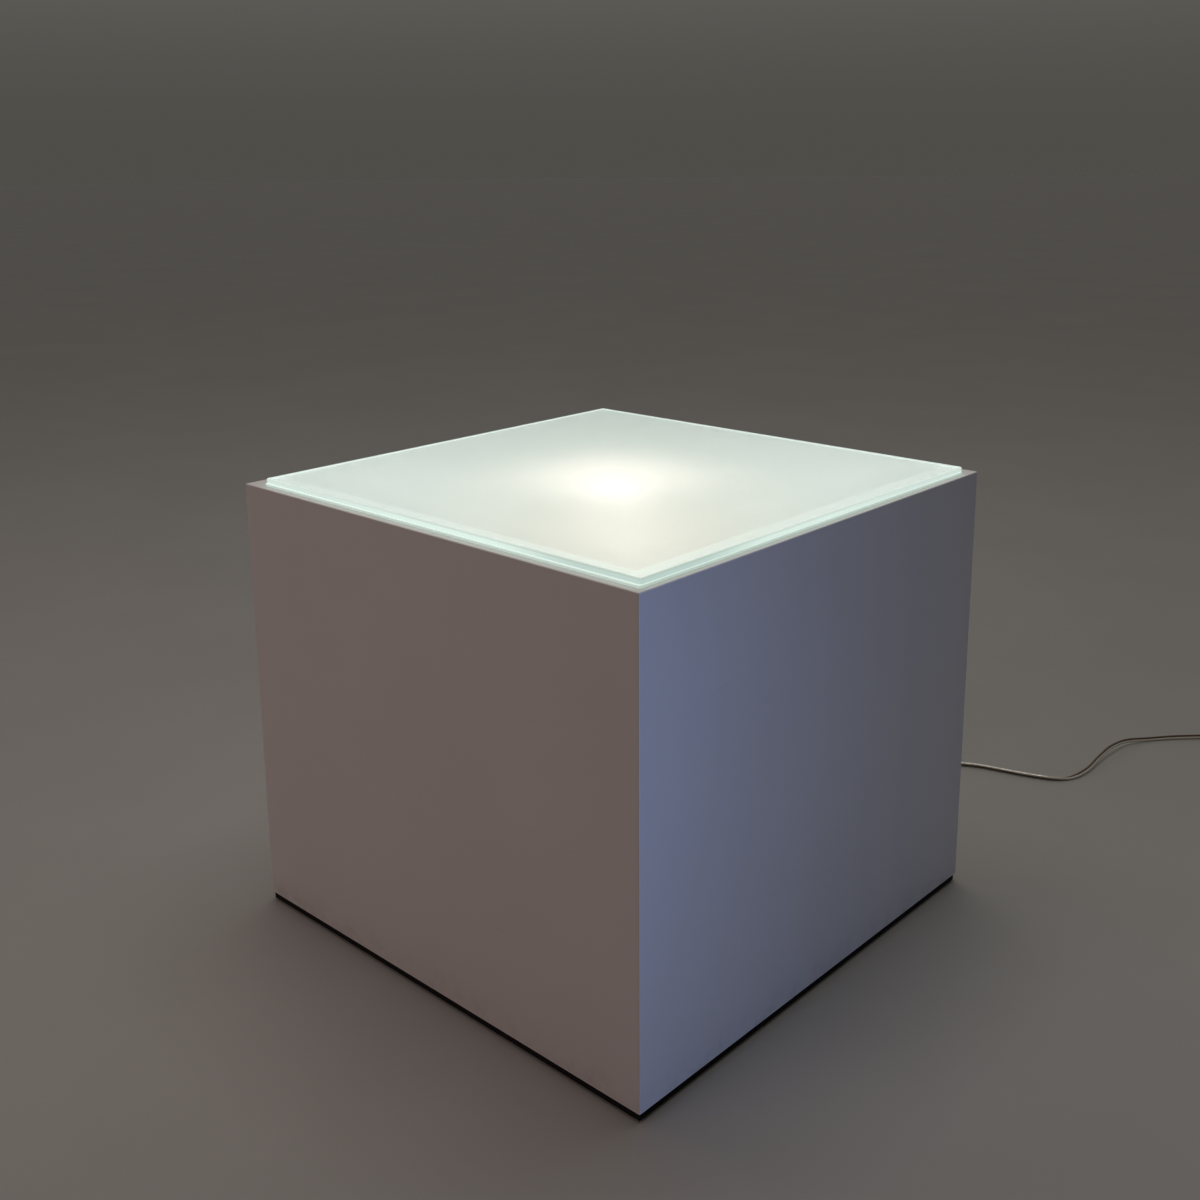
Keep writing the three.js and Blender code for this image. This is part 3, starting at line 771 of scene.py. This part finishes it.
def two_core_cord(name, route, rolls, settles, **words):
    """Sweeps the two-core section along a route in metres. Returns the piece, its path and its length.

    A cord that settles keeps its roll against the floor, and sinks onto it.
    """
    path, total = smooth_path(route, CORD_STEP)
    frames, side = [], None
    for i, point in enumerate(path):
        ahead = path[min(i + 1, len(path) - 1)] - path[max(i - 1, 0)]
        ahead.normalize()
        if settles:
            side = ahead.cross(Vector((0, 0, 1))).normalized()
        else:
            side = side or ahead.cross(Vector((0, 0, 1)))
            side = (side - ahead * side.dot(ahead)).normalized()
        roll = math.radians(value_at(rolls, total * i / (len(path) - 1)))
        if settles:
            drop = CORD_CENTRE_HEIGHT - CORD_CLEARANCE - half_height(roll)
            near_floor = 1 - ease((point.z - SETTLE_LOW) / SETTLE_RANGE)
            point = point - Vector((0, 0, drop * near_floor))
        frames.append((point, side, side.cross(ahead), roll))
    section = cord_section()
    rings = []
    for point, side, normal, roll in frames:
        ring = []
        for angle, reach in section:
            a = angle + roll
            ring.append(point + side * (math.cos(a) * reach) + normal * (math.sin(a) * reach))
        rings.append(ring)
    bm = lattice(rings)
    layer = bm.loops.layers.uv.new("cord")
    bm.verts.index_update()
    step = total / (len(path) - 1)
    for face in bm.faces:
        places = [divmod(loop.vert.index, SECTION_POINTS) for loop in face.loops]
        wraps = {p[1] for p in places} >= {0, SECTION_POINTS - 1} and len(places) == 4
        for loop, (row, column) in zip(face.loops, places):
            column = SECTION_POINTS if wraps and column == 0 else column
            loop[layer].uv = (column / SECTION_POINTS, row * step)
        middle = sum(p[1] if not (wraps and p[1] == 0) else SECTION_POINTS for p in places) / len(places)
        quarter = middle / SECTION_POINTS
        face.material_index = 1 if 0.25 < quarter < 0.75 else 0
    piece = finished(name, bm, [TINNED, COPPER], "cord_vinyl", smooth=60, **words)
    return piece, [f[0] for f in frames], total


def outer_cord():
    coil_steps = math.ceil(COIL_LEVELS[-1][0] * COIL_POINTS_PER_TURN)
    turns = [COIL_LEVELS[-1][0] * i / coil_steps for i in range(coil_steps + 1)]
    route = OUTER_ROUTE_MM + [coil_point(t) for t in turns]
    points = [Vector(p) * MM for p in route]
    return two_core_cord("power_cord", points, OUTER_ROLL, True, replaces=("cord_run", "cord_coil"))


power_cord, cord_path, cord_length = outer_cord()
inner_route = [Vector(p) * MM for p in INNER_ROUTE_MM]
two_core_cord("inner_cord", inner_route, NO_ROLL, False, replaces=("inner_lead",))


# ---- Casing ----
PANEL_ROUND = 1.6 * MM
TOP_ARRIS = 1.3 * MM
BOTTOM_ARRIS = 1.2 * MM
INNER_ARRIS = 0.5 * MM
ARC_STEPS = 5
GLAND_Z = middle_of("cord_gland").z
GLAND_HOLE = 10 * MM


def panel_section(thickness, bottom, top):
    """A panel's upright section as (depth, height), closed, with its arrises rounded."""
    corners = [
        (0, bottom, BOTTOM_ARRIS),
        (0, top, TOP_ARRIS),
        (thickness, top, INNER_ARRIS),
        (thickness, bottom, INNER_ARRIS),
    ]
    middle = Vector((thickness / 2, (bottom + top) / 2))
    section = []
    for depth, height, radius in corners:
        inwards = Vector((1 if depth < middle.x else -1, 1 if height < middle.y else -1))
        centre = Vector((depth, height)) + inwards * radius
        start = {(1, 1): 270, (1, -1): 180, (-1, -1): 90, (-1, 1): 0}[tuple(int(v) for v in inwards)]
        for i in range(ARC_STEPS + 1):
            a = math.radians(start - 90 * i / ARC_STEPS)
            section.append((centre.x + radius * math.cos(a), centre.y + radius * math.sin(a)))
    return section


def panel(side, index):
    """One side of the box, its two upright corners rounded up to the mitres."""
    low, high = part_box("panel_front")
    half, thickness = -low.y, high.y - low.y
    section = panel_section(thickness, low.z, high.z)
    columns = []
    arcs = [(-1, math.radians(-135 + 45 * i / ARC_STEPS)) for i in range(ARC_STEPS + 1)]
    arcs += [(1, math.radians(-90 + 45 * i / ARC_STEPS)) for i in range(ARC_STEPS + 1)]
    turn = Matrix.Rotation(index * math.pi / 2, 3, "Z")
    for sign, angle in arcs:
        column = []
        for depth, height in section:
            centre = half - max(depth, PANEL_ROUND)
            radius = max(PANEL_ROUND - depth, 0)
            x = sign * centre + radius * math.cos(angle)
            y = -centre + radius * math.sin(angle)
            column.append(turn @ Vector((x, y, height)))
        columns.append(column)
    bm = merged(lattice(columns))
    piece = finished(f"white_panel_{side}", bm, WHITE, "white_paint", [f"panel_{side}"], smooth=30)
    if side == "rear":
        cut(piece, shifted(round_bar(GLAND_HOLE, 0, 0.06, 48, "Y"), (0, half - 0.04, GLAND_Z)))


def eased(name, node, material, slot, *easing):
    """A piece that is its CAD node's own solid, with eased edges."""
    finished(name, soften(cad_solid(node), *easing), material, slot, [node])


for i, side in enumerate(SIDES):
    panel(side, i)
    eased(f"rim_ledge_{side}", f"ledge_{side}", WHITE, "white_paint", 1.2 * MM)
    # The skids' black is partly painted shade: it stands for the deep shade in the recess under the box.
    eased(f"base_skid_{side}", f"skid_{side}", BLACK_PAINT_AND_SHADE, "black_paint", 1 * MM)

for corner in CORNERS:
    eased(f"corner_post_{corner}", f"post_{corner}", PINE_Z, "bare_timber", 1.5 * MM)

eased("ply_deck", "bottom_deck", PLY, "plywood", 0.6 * MM)
eased("ply_lamp_rail", "lamp_rail", PLY, "plywood", 0.6 * MM)
for side in ("left", "right"):
    eased(f"pine_cleat_{side}", f"rail_cleat_{side}", PINE_Y, "bare_timber", 0.8 * MM)


def felt_glide(corner):
    """A round felt pad with a slightly frayed outline."""
    node = f"glide_{corner}"
    low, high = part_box(node)
    radius, height = (high.x - low.x) / 2, high.z - low.z
    centre = (*middle_of(node).xy, low.z)
    profile = rounded([(0, 0), (radius, 0), (radius, height), (0, height)], 0.8 * MM)

    def fuzz(angle, z):
        return 0.12 * MM * (math.sin(11 * angle) + 0.6 * math.sin(23 * angle + 900 * z))

    finished(f"felt_pad_{corner}", turned(profile, 72, centre, wobble=fuzz), FELT, "grey_felt", [node])


for corner in CORNERS:
    felt_glide(corner)


# ---- The two loose sheets ----
SHEET_CORNER = 2.6 * MM
ARRIS_STEPS = 4
CORNER_STEPS = 6
# The width of each sheet's arris along its top and its foot.
OPAL_ARRISES = (0.5 * MM, 0.5 * MM)
CLEAR_ARRISES = (1.7 * MM, 0.9 * MM)
# How upright a face's normal is on a sheet's flat face, and on its sawn edge.
FLAT = 0.995
UPRIGHT = 0.05


def sheet_outline(low, high, inset, z):
    """A rectangle's outline with rounded corners, drawn in from its edges."""
    radius = SHEET_CORNER - inset
    ring = []
    for corner, (x, y) in enumerate(((high.x, high.y), (low.x, high.y), (low.x, low.y), (high.x, low.y))):
        centre_x = x - math.copysign(SHEET_CORNER, x)
        centre_y = y - math.copysign(SHEET_CORNER, y)
        for i in range(CORNER_STEPS + 1):
            a = math.pi / 2 * (corner + i / CORNER_STEPS)
            ring.append(Vector((centre_x + radius * math.cos(a), centre_y + radius * math.sin(a), z)))
    return ring


def loose_sheet(name, node, top_arris, low_arris, faces, edge, arris, slot, body):
    """A sheet with flat faces, sawn edges and an arris of its own width above and below."""
    low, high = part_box(node)
    rings = []
    turns = [math.pi / 2 * i / ARRIS_STEPS for i in range(ARRIS_STEPS + 1)]
    for a in turns:
        inset, rise = low_arris * (1 - math.sin(a)), low_arris * (1 - math.cos(a))
        rings.append(sheet_outline(low, high, inset, low.z + rise))
    for a in turns:
        inset, fall = top_arris * (1 - math.cos(a)), top_arris * (1 - math.sin(a))
        rings.append(sheet_outline(low, high, inset, high.z - fall))
    bm = lattice(rings)
    bm.normal_update()
    for face in bm.faces:
        rise = abs(face.normal.z)
        face.material_index = 0 if rise > FLAT else 1 if rise < UPRIGHT else 2
    finished(name, bm, [faces, edge, arris], slot, [node], body)


OPAL_LOOKS = (OPAL, OPAL_EDGE, OPAL_EDGE)
CLEAR_LOOKS = (CLEAR, CLEAR_EDGE, CLEAR_ARRIS)
loose_sheet("opal_sheet", "diffuser_sheet", *OPAL_ARRISES, *OPAL_LOOKS, "opal_acrylic", "diffuser")
loose_sheet("clear_sheet", "top_sheet", *CLEAR_ARRISES, *CLEAR_LOOKS, "clear_acrylic", "cover")


# ---- Lamp: holder, bulb and screws ----
THREAD_PITCH = 3.629 * MM
HOLDER_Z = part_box("lampholder_body")[0].z
# A cutter is turned by half a step, which keeps its corners off the seams of the piece it cuts.
HALF_STEP = math.pi / 32


def lamp_profile(points_mm, radius=0.0):
    """A profile in mm above the holder's foot, its corners eased where a radius is given."""
    points = [(r * MM, HOLDER_Z + z * MM) for r, z in points_mm]
    return rounded(points, radius) if radius else points


def thread(depth, pitch, start, end, first_fade, last_fade):
    """A rounded screw thread that rises as the angle grows, and fades out at both ends."""

    def wobble(angle, z):
        inside = ease((z - start) / first_fade) * ease((end - z) / last_fade)
        return depth * inside * math.cos(math.tau * z / pitch - angle)

    return wobble


def lamp_thread(depth, low_mm, high_mm):
    return thread(depth, THREAD_PITCH, HOLDER_Z + low_mm * MM, HOLDER_Z + high_mm * MM, 2.5 * MM, 2.5 * MM)


def evenly(points, step):
    """Splits a profile's long stretches so that a thread has points to move."""
    result = [points[0]]
    for a, b in zip(points, points[1:]):
        length = math.dist(a, b)
        count = max(1, math.ceil(length / step))
        result += [tuple(u + (v - u) * i / count for u, v in zip(a, b)) for i in range(1, count + 1)]
    return result


def lampholder():
    """The porcelain body with its two screw holes and its notch for the lead, the shell and the contact."""
    foot = [(0, 0), (42, 0), (42, 8), (40, 10), (29.5, 10), (26.5, 11.5), (24, 15.5), (22, 26), (22.2, 28)]
    neck = [(21.4, 30), (21, 44), (19.5, 46), (14.6, 46), (14.6, 14), (0, 14)]
    profile = lamp_profile(foot + neck, 1.1 * MM)
    body = finished("porcelain_holder", turned(profile, 96), PORCELAIN, "porcelain", ["lampholder_body"])
    tools = []
    for node in ("holder_screw_1", "holder_screw_2"):
        hole = rotated(round_bar(2.2 * MM, 0, 0.03), HALF_STEP, "Z")
        tools.append(shifted(hole, (0, middle_of(node).y, HOLDER_Z - 0.01)))
    notch = rotated(rotated(round_bar(4 * MM, 0, 0.012, along="Y"), HALF_STEP, "Y"), -math.pi / 2, "Z")
    cut(body, *tools, shifted(notch, (37 * MM, 0, INNER_ROUTE_MM[0][2] * MM - 0.5 * MM)))
    shell = evenly(lamp_profile([(14.2, 14.4), (14.2, 42), (13.7, 42), (13.7, 15.2)], 0), 0.6 * MM)
    closed = [(0, shell[0][1]), *shell, (0, shell[-1][1])]
    wobble = lamp_thread(0.3 * MM, 16, 41)
    finished("brass_screw_shell", turned(closed, 96, wobble=wobble), BRASS, "brass", ["lampholder_shell"])
    contact = rounded(lamp_profile([(0, 15.5), (4, 15.5), (3.8, 16.4), (2.2, 17.05), (0, 17.1)]), 0.3 * MM)
    finished("brass_centre_contact", turned(contact, 48), BRASS, "brass", ["lampholder_contact"])


def bulb():
    """The contact, the threaded cap, the ribbed neck and the globe, from below upwards."""
    foot = rounded(lamp_profile([(0, 17.4), (3.6, 17.4), (4.6, 18.4), (8.6, 20.4), (0, 20.4)]), 0.5 * MM)
    bm = turned(foot, 64)
    for face in bm.faces:
        face.material_index = 1 if face.calc_center_median().xy.length < 3.7 * MM else 0
    looks = [BLACK_PLASTIC, NICKEL]
    finished("bulb_foot_insulator", bm, looks, "black_plastic", ["bulb_contact"], "bulb_foot")
    cap = [(0, 20.7), (9, 20.7), (12.2, 23.6), (12.75, 26), (12.75, 44), (13, 45), (13, 46.2), (0, 46.2)]
    profile = evenly(rounded(lamp_profile(cap), 0.5 * MM), 0.45 * MM)
    bm = turned(profile, 96, wobble=lamp_thread(0.42 * MM, 24, 44))
    finished("bulb_screw_cap", bm, NICKEL, "nickel", ["bulb_cap"], "bulb")
    neck = [(0, 46.5), (13.8, 46.5), (14.2, 50), (17.5, 60), (22, 70.5), (25.3, 79), (26.3, 84), (26.3, 86)]
    neck = lamp_profile([*neck, (0, 86)])

    def ribs(angle, z):
        inside = ease((z - HOLDER_Z - 52 * MM) / (6 * MM)) * ease((HOLDER_Z + 80 * MM - z) / (5 * MM))
        return -0.45 * MM * inside * max(0.0, math.cos(18 * angle)) ** 3

    bm = turned(evenly(rounded(neck, 1.2 * MM, 6), 1.5 * MM), 144, wobble=ribs)
    finished("bulb_plastic_neck", bm, WHITE_PLASTIC, "white_plastic", ["bulb_neck"], "bulb")
    low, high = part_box("bulb_globe")
    radius = (high.x - low.x) / 2
    centre = high.z - radius
    start = math.asin((low.z - centre) / radius)
    globe = [(0, low.z)]
    for i in range(33):
        a = start + (math.pi / 2 - start) * i / 32
        globe.append((max(radius * math.cos(a), 0) if i < 32 else 0, centre + radius * math.sin(a)))
    finished("bulb_opal_globe", turned(globe, 96), GLOBE, "opal_glass", ["bulb_globe"], "bulb")


def wood_screw(node):
    """A slotted round-head screw, its shank threaded below the head."""
    low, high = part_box(node)
    x, y, _ = middle_of(node)
    head = (high.x - low.x) / 2
    rim, dome_height, dome_steps = 0.35 * MM, 2.05 * MM, 8
    seat = high.z - rim - dome_height
    dome = [(head, seat + rim)]
    for i in range(1, dome_steps + 1):
        a = math.pi / 2 * i / dome_steps
        dome.append((head * math.cos(a) if i < dome_steps else 0, seat + rim + dome_height * math.sin(a)))
    shank, point = 1.55 * MM, 4 * MM
    tip = [(0, low.z), (0.3 * MM, low.z), (shank, low.z + point)]
    profile = [*tip, (shank, seat), (head - 0.2 * MM, seat), *dome]
    wobble = thread(0.25 * MM, 1.4 * MM, low.z, seat - 4 * MM, point, 2 * MM)
    bm = turned(evenly(profile, 0.35 * MM), 32, (x, y, 0), wobble=wobble)
    piece = finished(f"slotted_{node}", bm, ZINC, "zinc_steel", [node])
    slot = bmesh.new()
    bmesh.ops.create_cube(slot, size=1)
    bmesh.ops.scale(slot, verts=slot.verts, vec=(0.9 * MM, 12 * MM, 2 * MM))
    cut(piece, shifted(rotated(slot, 0.5 + x * 9, "Z"), (x, y, high.z)))


lampholder()
bulb()
for node in ("holder_screw_1", "holder_screw_2", "rail_screw_left", "rail_screw_right"):
    wood_screw(node)


# ---- Clips, gland, nut and strain relief ----
def clip(node, sideways):
    """A saddle clip and the head of the nail through its ear."""
    eased(f"saddle_{node}", node, WHITE_PLASTIC, "white_plastic", 0.35 * MM, 2, 50)
    low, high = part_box(node)
    x, y, _ = middle_of(node)
    ear = 5 * MM
    centre = (x, high.y - ear, low.z) if sideways else (high.x - ear, y, low.z)
    outline_mm = [(0, 3), (2.1, 3), (2.1, 3.6), (1.5, 4), (0, 4.05)]
    head = rounded([(r * MM, z * MM) for r, z in outline_mm], 0.25 * MM)
    finished(f"nail_{node}", turned(head, 32, centre), ZINC, "zinc_steel")


clip("clip_rail", True)
clip("clip_deck", False)


def gland():
    """The bush through the rear panel: its threaded barrel, its flange outside, and the nut inside."""
    low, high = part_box("cord_gland")
    flange = (high.x - low.x) / 2
    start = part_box("panel_rear")[1].y + 0.3 * MM
    barrel = 9.7 * MM
    bore, recess = 6.9 * MM, high.y - 0.8 * MM
    inside = [(0, low.y), (barrel - 0.5 * MM, low.y), (barrel, low.y + 0.8 * MM), (barrel, start)]
    outside = [(flange, start), (flange, start + 1.1 * MM), (flange - 2.5 * MM, high.y)]
    mouth = [(bore + 0.5 * MM, high.y), (bore, recess), (0, recess)]
    profile = rounded(inside + outside + mouth, 0.4 * MM)
    wobble = thread(0.2 * MM, 1.5 * MM, low.y + 0.5 * MM, start - 12 * MM, MM, MM)
    bm = shifted(turned(evenly(profile, 0.5 * MM), 72, along="Y", wobble=wobble), (0, 0, GLAND_Z))
    piece = finished("white_gland", bm, WHITE_PLASTIC, "white_plastic", ["cord_gland"])
    eased("white_gland_nut", "gland_nut", WHITE_PLASTIC, "white_plastic", 0.5 * MM, 2, 40)
    return piece


def strain_relief():
    """A tapered sleeve with staggered slots, so that it bends evenly."""
    low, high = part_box("strain_relief")
    length = high.y - low.y
    thick, thin = 6.4 * MM, 4.4 * MM
    slots, first, pitch = 8, 7 * MM, 3.6 * MM
    rings, count, rows = [], 64, 120
    for row in range(rows + 1):
        y = length * row / rows
        base = thick + (thin - thick) * ease(y / length)
        ring = []
        for i in range(count):
            angle = math.tau * i / count
            k = (y - first) / pitch
            index = round(k)
            cutting = 0.0
            if 0 <= index < slots:
                close = 1 - ease(abs(k - index) * pitch / (1.05 * MM))
                facing = abs(math.cos(angle + (math.pi / 2 if index % 2 else 0)))
                cutting = close * ease((facing - 0.42) / 0.12)
            r = base - 1.5 * MM * cutting
            ring.append(Vector((r * math.cos(angle), low.y + y, GLAND_Z + r * math.sin(angle))))
        rings.append(ring)
    end = Vector((0, high.y, GLAND_Z))
    for share, depth in ((0.9, 0.0), (0.86, 0.6), (0.82, 3.0)):
        inner = Vector((0, high.y - depth * MM, GLAND_Z))
        rings.append([inner + (p - end).normalized() * (thin * share) for p in rings[rows]])
    bm = merged(lattice(rings))
    return finished("ribbed_strain_relief", bm, IVORY_VINYL, "cord_vinyl", ["strain_relief"])


white_gland = gland()
sleeve = strain_relief()


# ---- Plug on the coil ----
PLUG_TURN = math.pi - 0.17
PLUG_TAIL = Vector((470, 968, 13.9)) * MM
PLUG_PLACE = Matrix.Translation(PLUG_TAIL) @ Matrix.Rotation(PLUG_TURN, 4, "Z")
PLUG_LENGTH = 34 * MM
PLUG_WIDTH = 25 * MM
PLUG_THICKNESS = 16 * MM
PLUG_TAIL_WIDTH = 9 * MM
PLUG_TAIL_HALF_THICKNESS = 3.6 * MM


def squarish(angle, power):
    """The point at an angle on an outline between a circle (power 1) and a square (power 0)."""
    c, s = math.cos(angle), math.sin(angle)
    return math.copysign(abs(c) ** power, c), math.copysign(abs(s) ** power, s)


def plug():
    """A moulded flat plug: a slim tail that widens into a body with finger ribs."""
    rings, count, rows = [], 48, 96
    rib_depth, rib_pitch = 0.55 * MM, 2.5 * MM
    for row in range(rows + 1):
        y = PLUG_LENGTH * row / rows
        grow = ease((y - 1 * MM) / (13 * MM))
        half_w = PLUG_TAIL_WIDTH / 2 + (PLUG_WIDTH - PLUG_TAIL_WIDTH) / 2 * grow
        half_t = PLUG_TAIL_HALF_THICKNESS + (PLUG_THICKNESS / 2 - PLUG_TAIL_HALF_THICKNESS) * grow
        inside = ease((y - 15 * MM) / (2 * MM)) * ease((30 * MM - y) / (2 * MM))
        half_w -= rib_depth * inside * (0.5 + 0.5 * math.cos(math.tau * y / rib_pitch))
        end = ease((PLUG_LENGTH - y) / (1.8 * MM)) * 0.08 + 0.92
        ring = []
        for i in range(count):
            u, v = squarish(math.tau * i / count, 2 / (2.2 + 2.6 * grow))
            ring.append(PLUG_PLACE @ Vector((u * half_w * end, y, PLUG_THICKNESS / 2 + v * half_t * end)))
        rings.append(ring)
    return finished("moulded_plug", lattice(rings), IVORY_VINYL, "cord_vinyl", ["plug_body"], smooth=50)


def blade(side):
    """A flat brass blade with a rounded tip and a hole near it."""
    length, width, thickness, spacing, overlap = 17 * MM, 6.35 * MM, 1.5 * MM, 12.7 * MM, 0.5 * MM
    start = PLUG_LENGTH - overlap
    tip = length + overlap
    outline = rounded([(-width / 2, 0), (-width / 2, tip), (width / 2, tip), (width / 2, 0)], 2 * MM, 6)
    x = spacing / 2 * (-1 if side == "left" else 1)
    middle = PLUG_THICKNESS / 2
    rings = []
    for dx in (-thickness / 2, thickness / 2):
        rings.append([PLUG_PLACE @ Vector((x + dx, start + v, middle + u)) for u, v in outline])
    bm = soften(lattice(rings), 0.25 * MM, 2, 40)
    piece = finished(f"brass_blade_{side}", bm, BRASS, "brass", [f"plug_blade_{side}"])
    hole = rotated(round_bar(1.5 * MM, -3 * MM, 3 * MM), math.pi / 2, "Y")
    shifted(hole, (x, start + length - 3.2 * MM, middle))
    bmesh.ops.transform(hole, verts=hole.verts, matrix=PLUG_PLACE)
    return cut(piece, hole)


def coil_tie():
    """A soft tie round the coil's turns."""
    low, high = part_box("cord_coil")
    centre = middle_of("cord_coil")
    out = (high.x - low.x) / 2
    inner = 29.2 * MM
    angle = math.radians(232)
    radial = Vector((math.cos(angle), math.sin(angle), 0))
    around = Vector((-math.sin(angle), math.cos(angle), 0))
    middle = Vector((centre.x, centre.y, 0)) + radial * ((out + inner) / 2)
    half_r, half_z, thick, gap = (out - inner) / 2, 6.4 * MM, 0.7 * MM, 0.3 * MM
    rings = []
    for i in range(48):
        u, v = squarish(math.tau * i / 48, 0.6)
        ring = []
        for along, grow in ((-4, 0), (-4, 1), (4, 1), (4, 0)):
            r = half_r - gap + grow * thick
            z = half_z - gap + grow * thick
            height = Vector((0, 0, half_z + 0.45 * MM + v * z))
            ring.append(middle + radial * (u * r) + around * (along * MM) + height)
        rings.append(ring)
    rings.append(rings[0])
    bm = merged(lattice(rings, caps=False))
    return finished("coil_tie", soften(bm, 0.2 * MM, 2, 60), BLACK_PLASTIC, "black_plastic")


on_cord = [plug(), blade("left"), blade("right"), coil_tie(), sleeve, white_gland]


# ---- Floor, light and background ----
BEHIND_PLINTH = (-0.68, 0.73, 0)
BACKDROP_DIM = (0.044, 0.041, 0.038)
BACKDROP_LOW = (0.0795, 0.0757, 0.0664)
BACKDROP_HIGH = (0.34, 0.325, 0.3)


def floor():
    bm = bmesh.new()
    bmesh.ops.create_circle(bm, cap_ends=True, segments=96, radius=40)
    mesh = bpy.data.meshes.new("floor")
    bm.to_mesh(mesh)
    bm.free()
    mesh.materials.append(pale_floor())
    plane = bpy.data.objects.new("floor", mesh)
    SCENE.collection.objects.link(plane)
    plane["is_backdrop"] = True


def soft_light(name, place, target, size, power, colour, only_on=()):
    """A soft rectangle of light, itself unseen. Where pieces are named, it lights only those."""
    data = bpy.data.lights.new(name, "AREA")
    data.shape = "RECTANGLE"
    data.size, data.size_y = size
    data.energy = power
    data.color = colour
    lamp = bpy.data.objects.new(name, data)
    SCENE.collection.objects.link(lamp)
    lamp.location = place
    aim = Vector(target) - Vector(place)
    lamp.rotation_mode = "QUATERNION"
    lamp.rotation_quaternion = aim.to_track_quat("-Z", "Y")
    lamp.visible_camera = False
    if only_on:
        lit = bpy.data.collections.new(f"lit_by_{name}")
        for piece in only_on:
            lit.objects.link(bpy.data.objects[piece])
        lamp.light_linking.receiver_collection = lit


def background():
    """A plain backdrop, palest behind the plinth and dimmer at the horizon and on the camera's side."""
    world = bpy.data.worlds.new("studio")
    world.use_nodes = True
    nodes = Nodes(world.node_tree, "Generated")

    def towards(axis, low, high):
        return nodes.span(nodes.vector("DOT_PRODUCT", {0: nodes.place, 1: axis}, "Value"), low, high)

    pale = nodes.blend(towards((0, 0, 1), 0.0, 0.5), BACKDROP_LOW, BACKDROP_HIGH)
    colour = nodes.blend(towards(BEHIND_PLINTH, 0.1, 0.9), BACKDROP_DIM, pale)
    shader = nodes.tree.nodes["Background"]
    nodes.tree.links.new(colour, shader.inputs["Color"])
    shader.inputs["Strength"].default_value = 1.0
    SCENE.world = world


floor()
object_pieces = [o.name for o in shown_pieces()]
soft_light("overhead", (0, 0.2, 3.4), (0, 0.1, 0), (1.8, 1.8), 12.5, (1.0, 0.97, 0.93))
soft_light("top_key", (0.1, 0.3, 3.7), (0.1, 0.3, 0), (0.9, 0.9), 20, (1.0, 0.94, 0.87), object_pieces)
soft_light("warm_side", (-1.2, -3.6, 1.3), (0, -0.3, 0.3), (2.2, 1.6), 12.6, (1.0, 0.67, 0.64))
cool_blue = (0.33, 0.48, 1.0)
soft_light(
    "cool_side", (0.85, -0.62, 0.42), (0.3, -0.5, 0.3), (0.4, 0.5), 1.3, cool_blue, ["white_panel_right"]
)
background()
SCENE.view_settings.view_transform = "Standard"
SCENE.view_settings.look = "None"
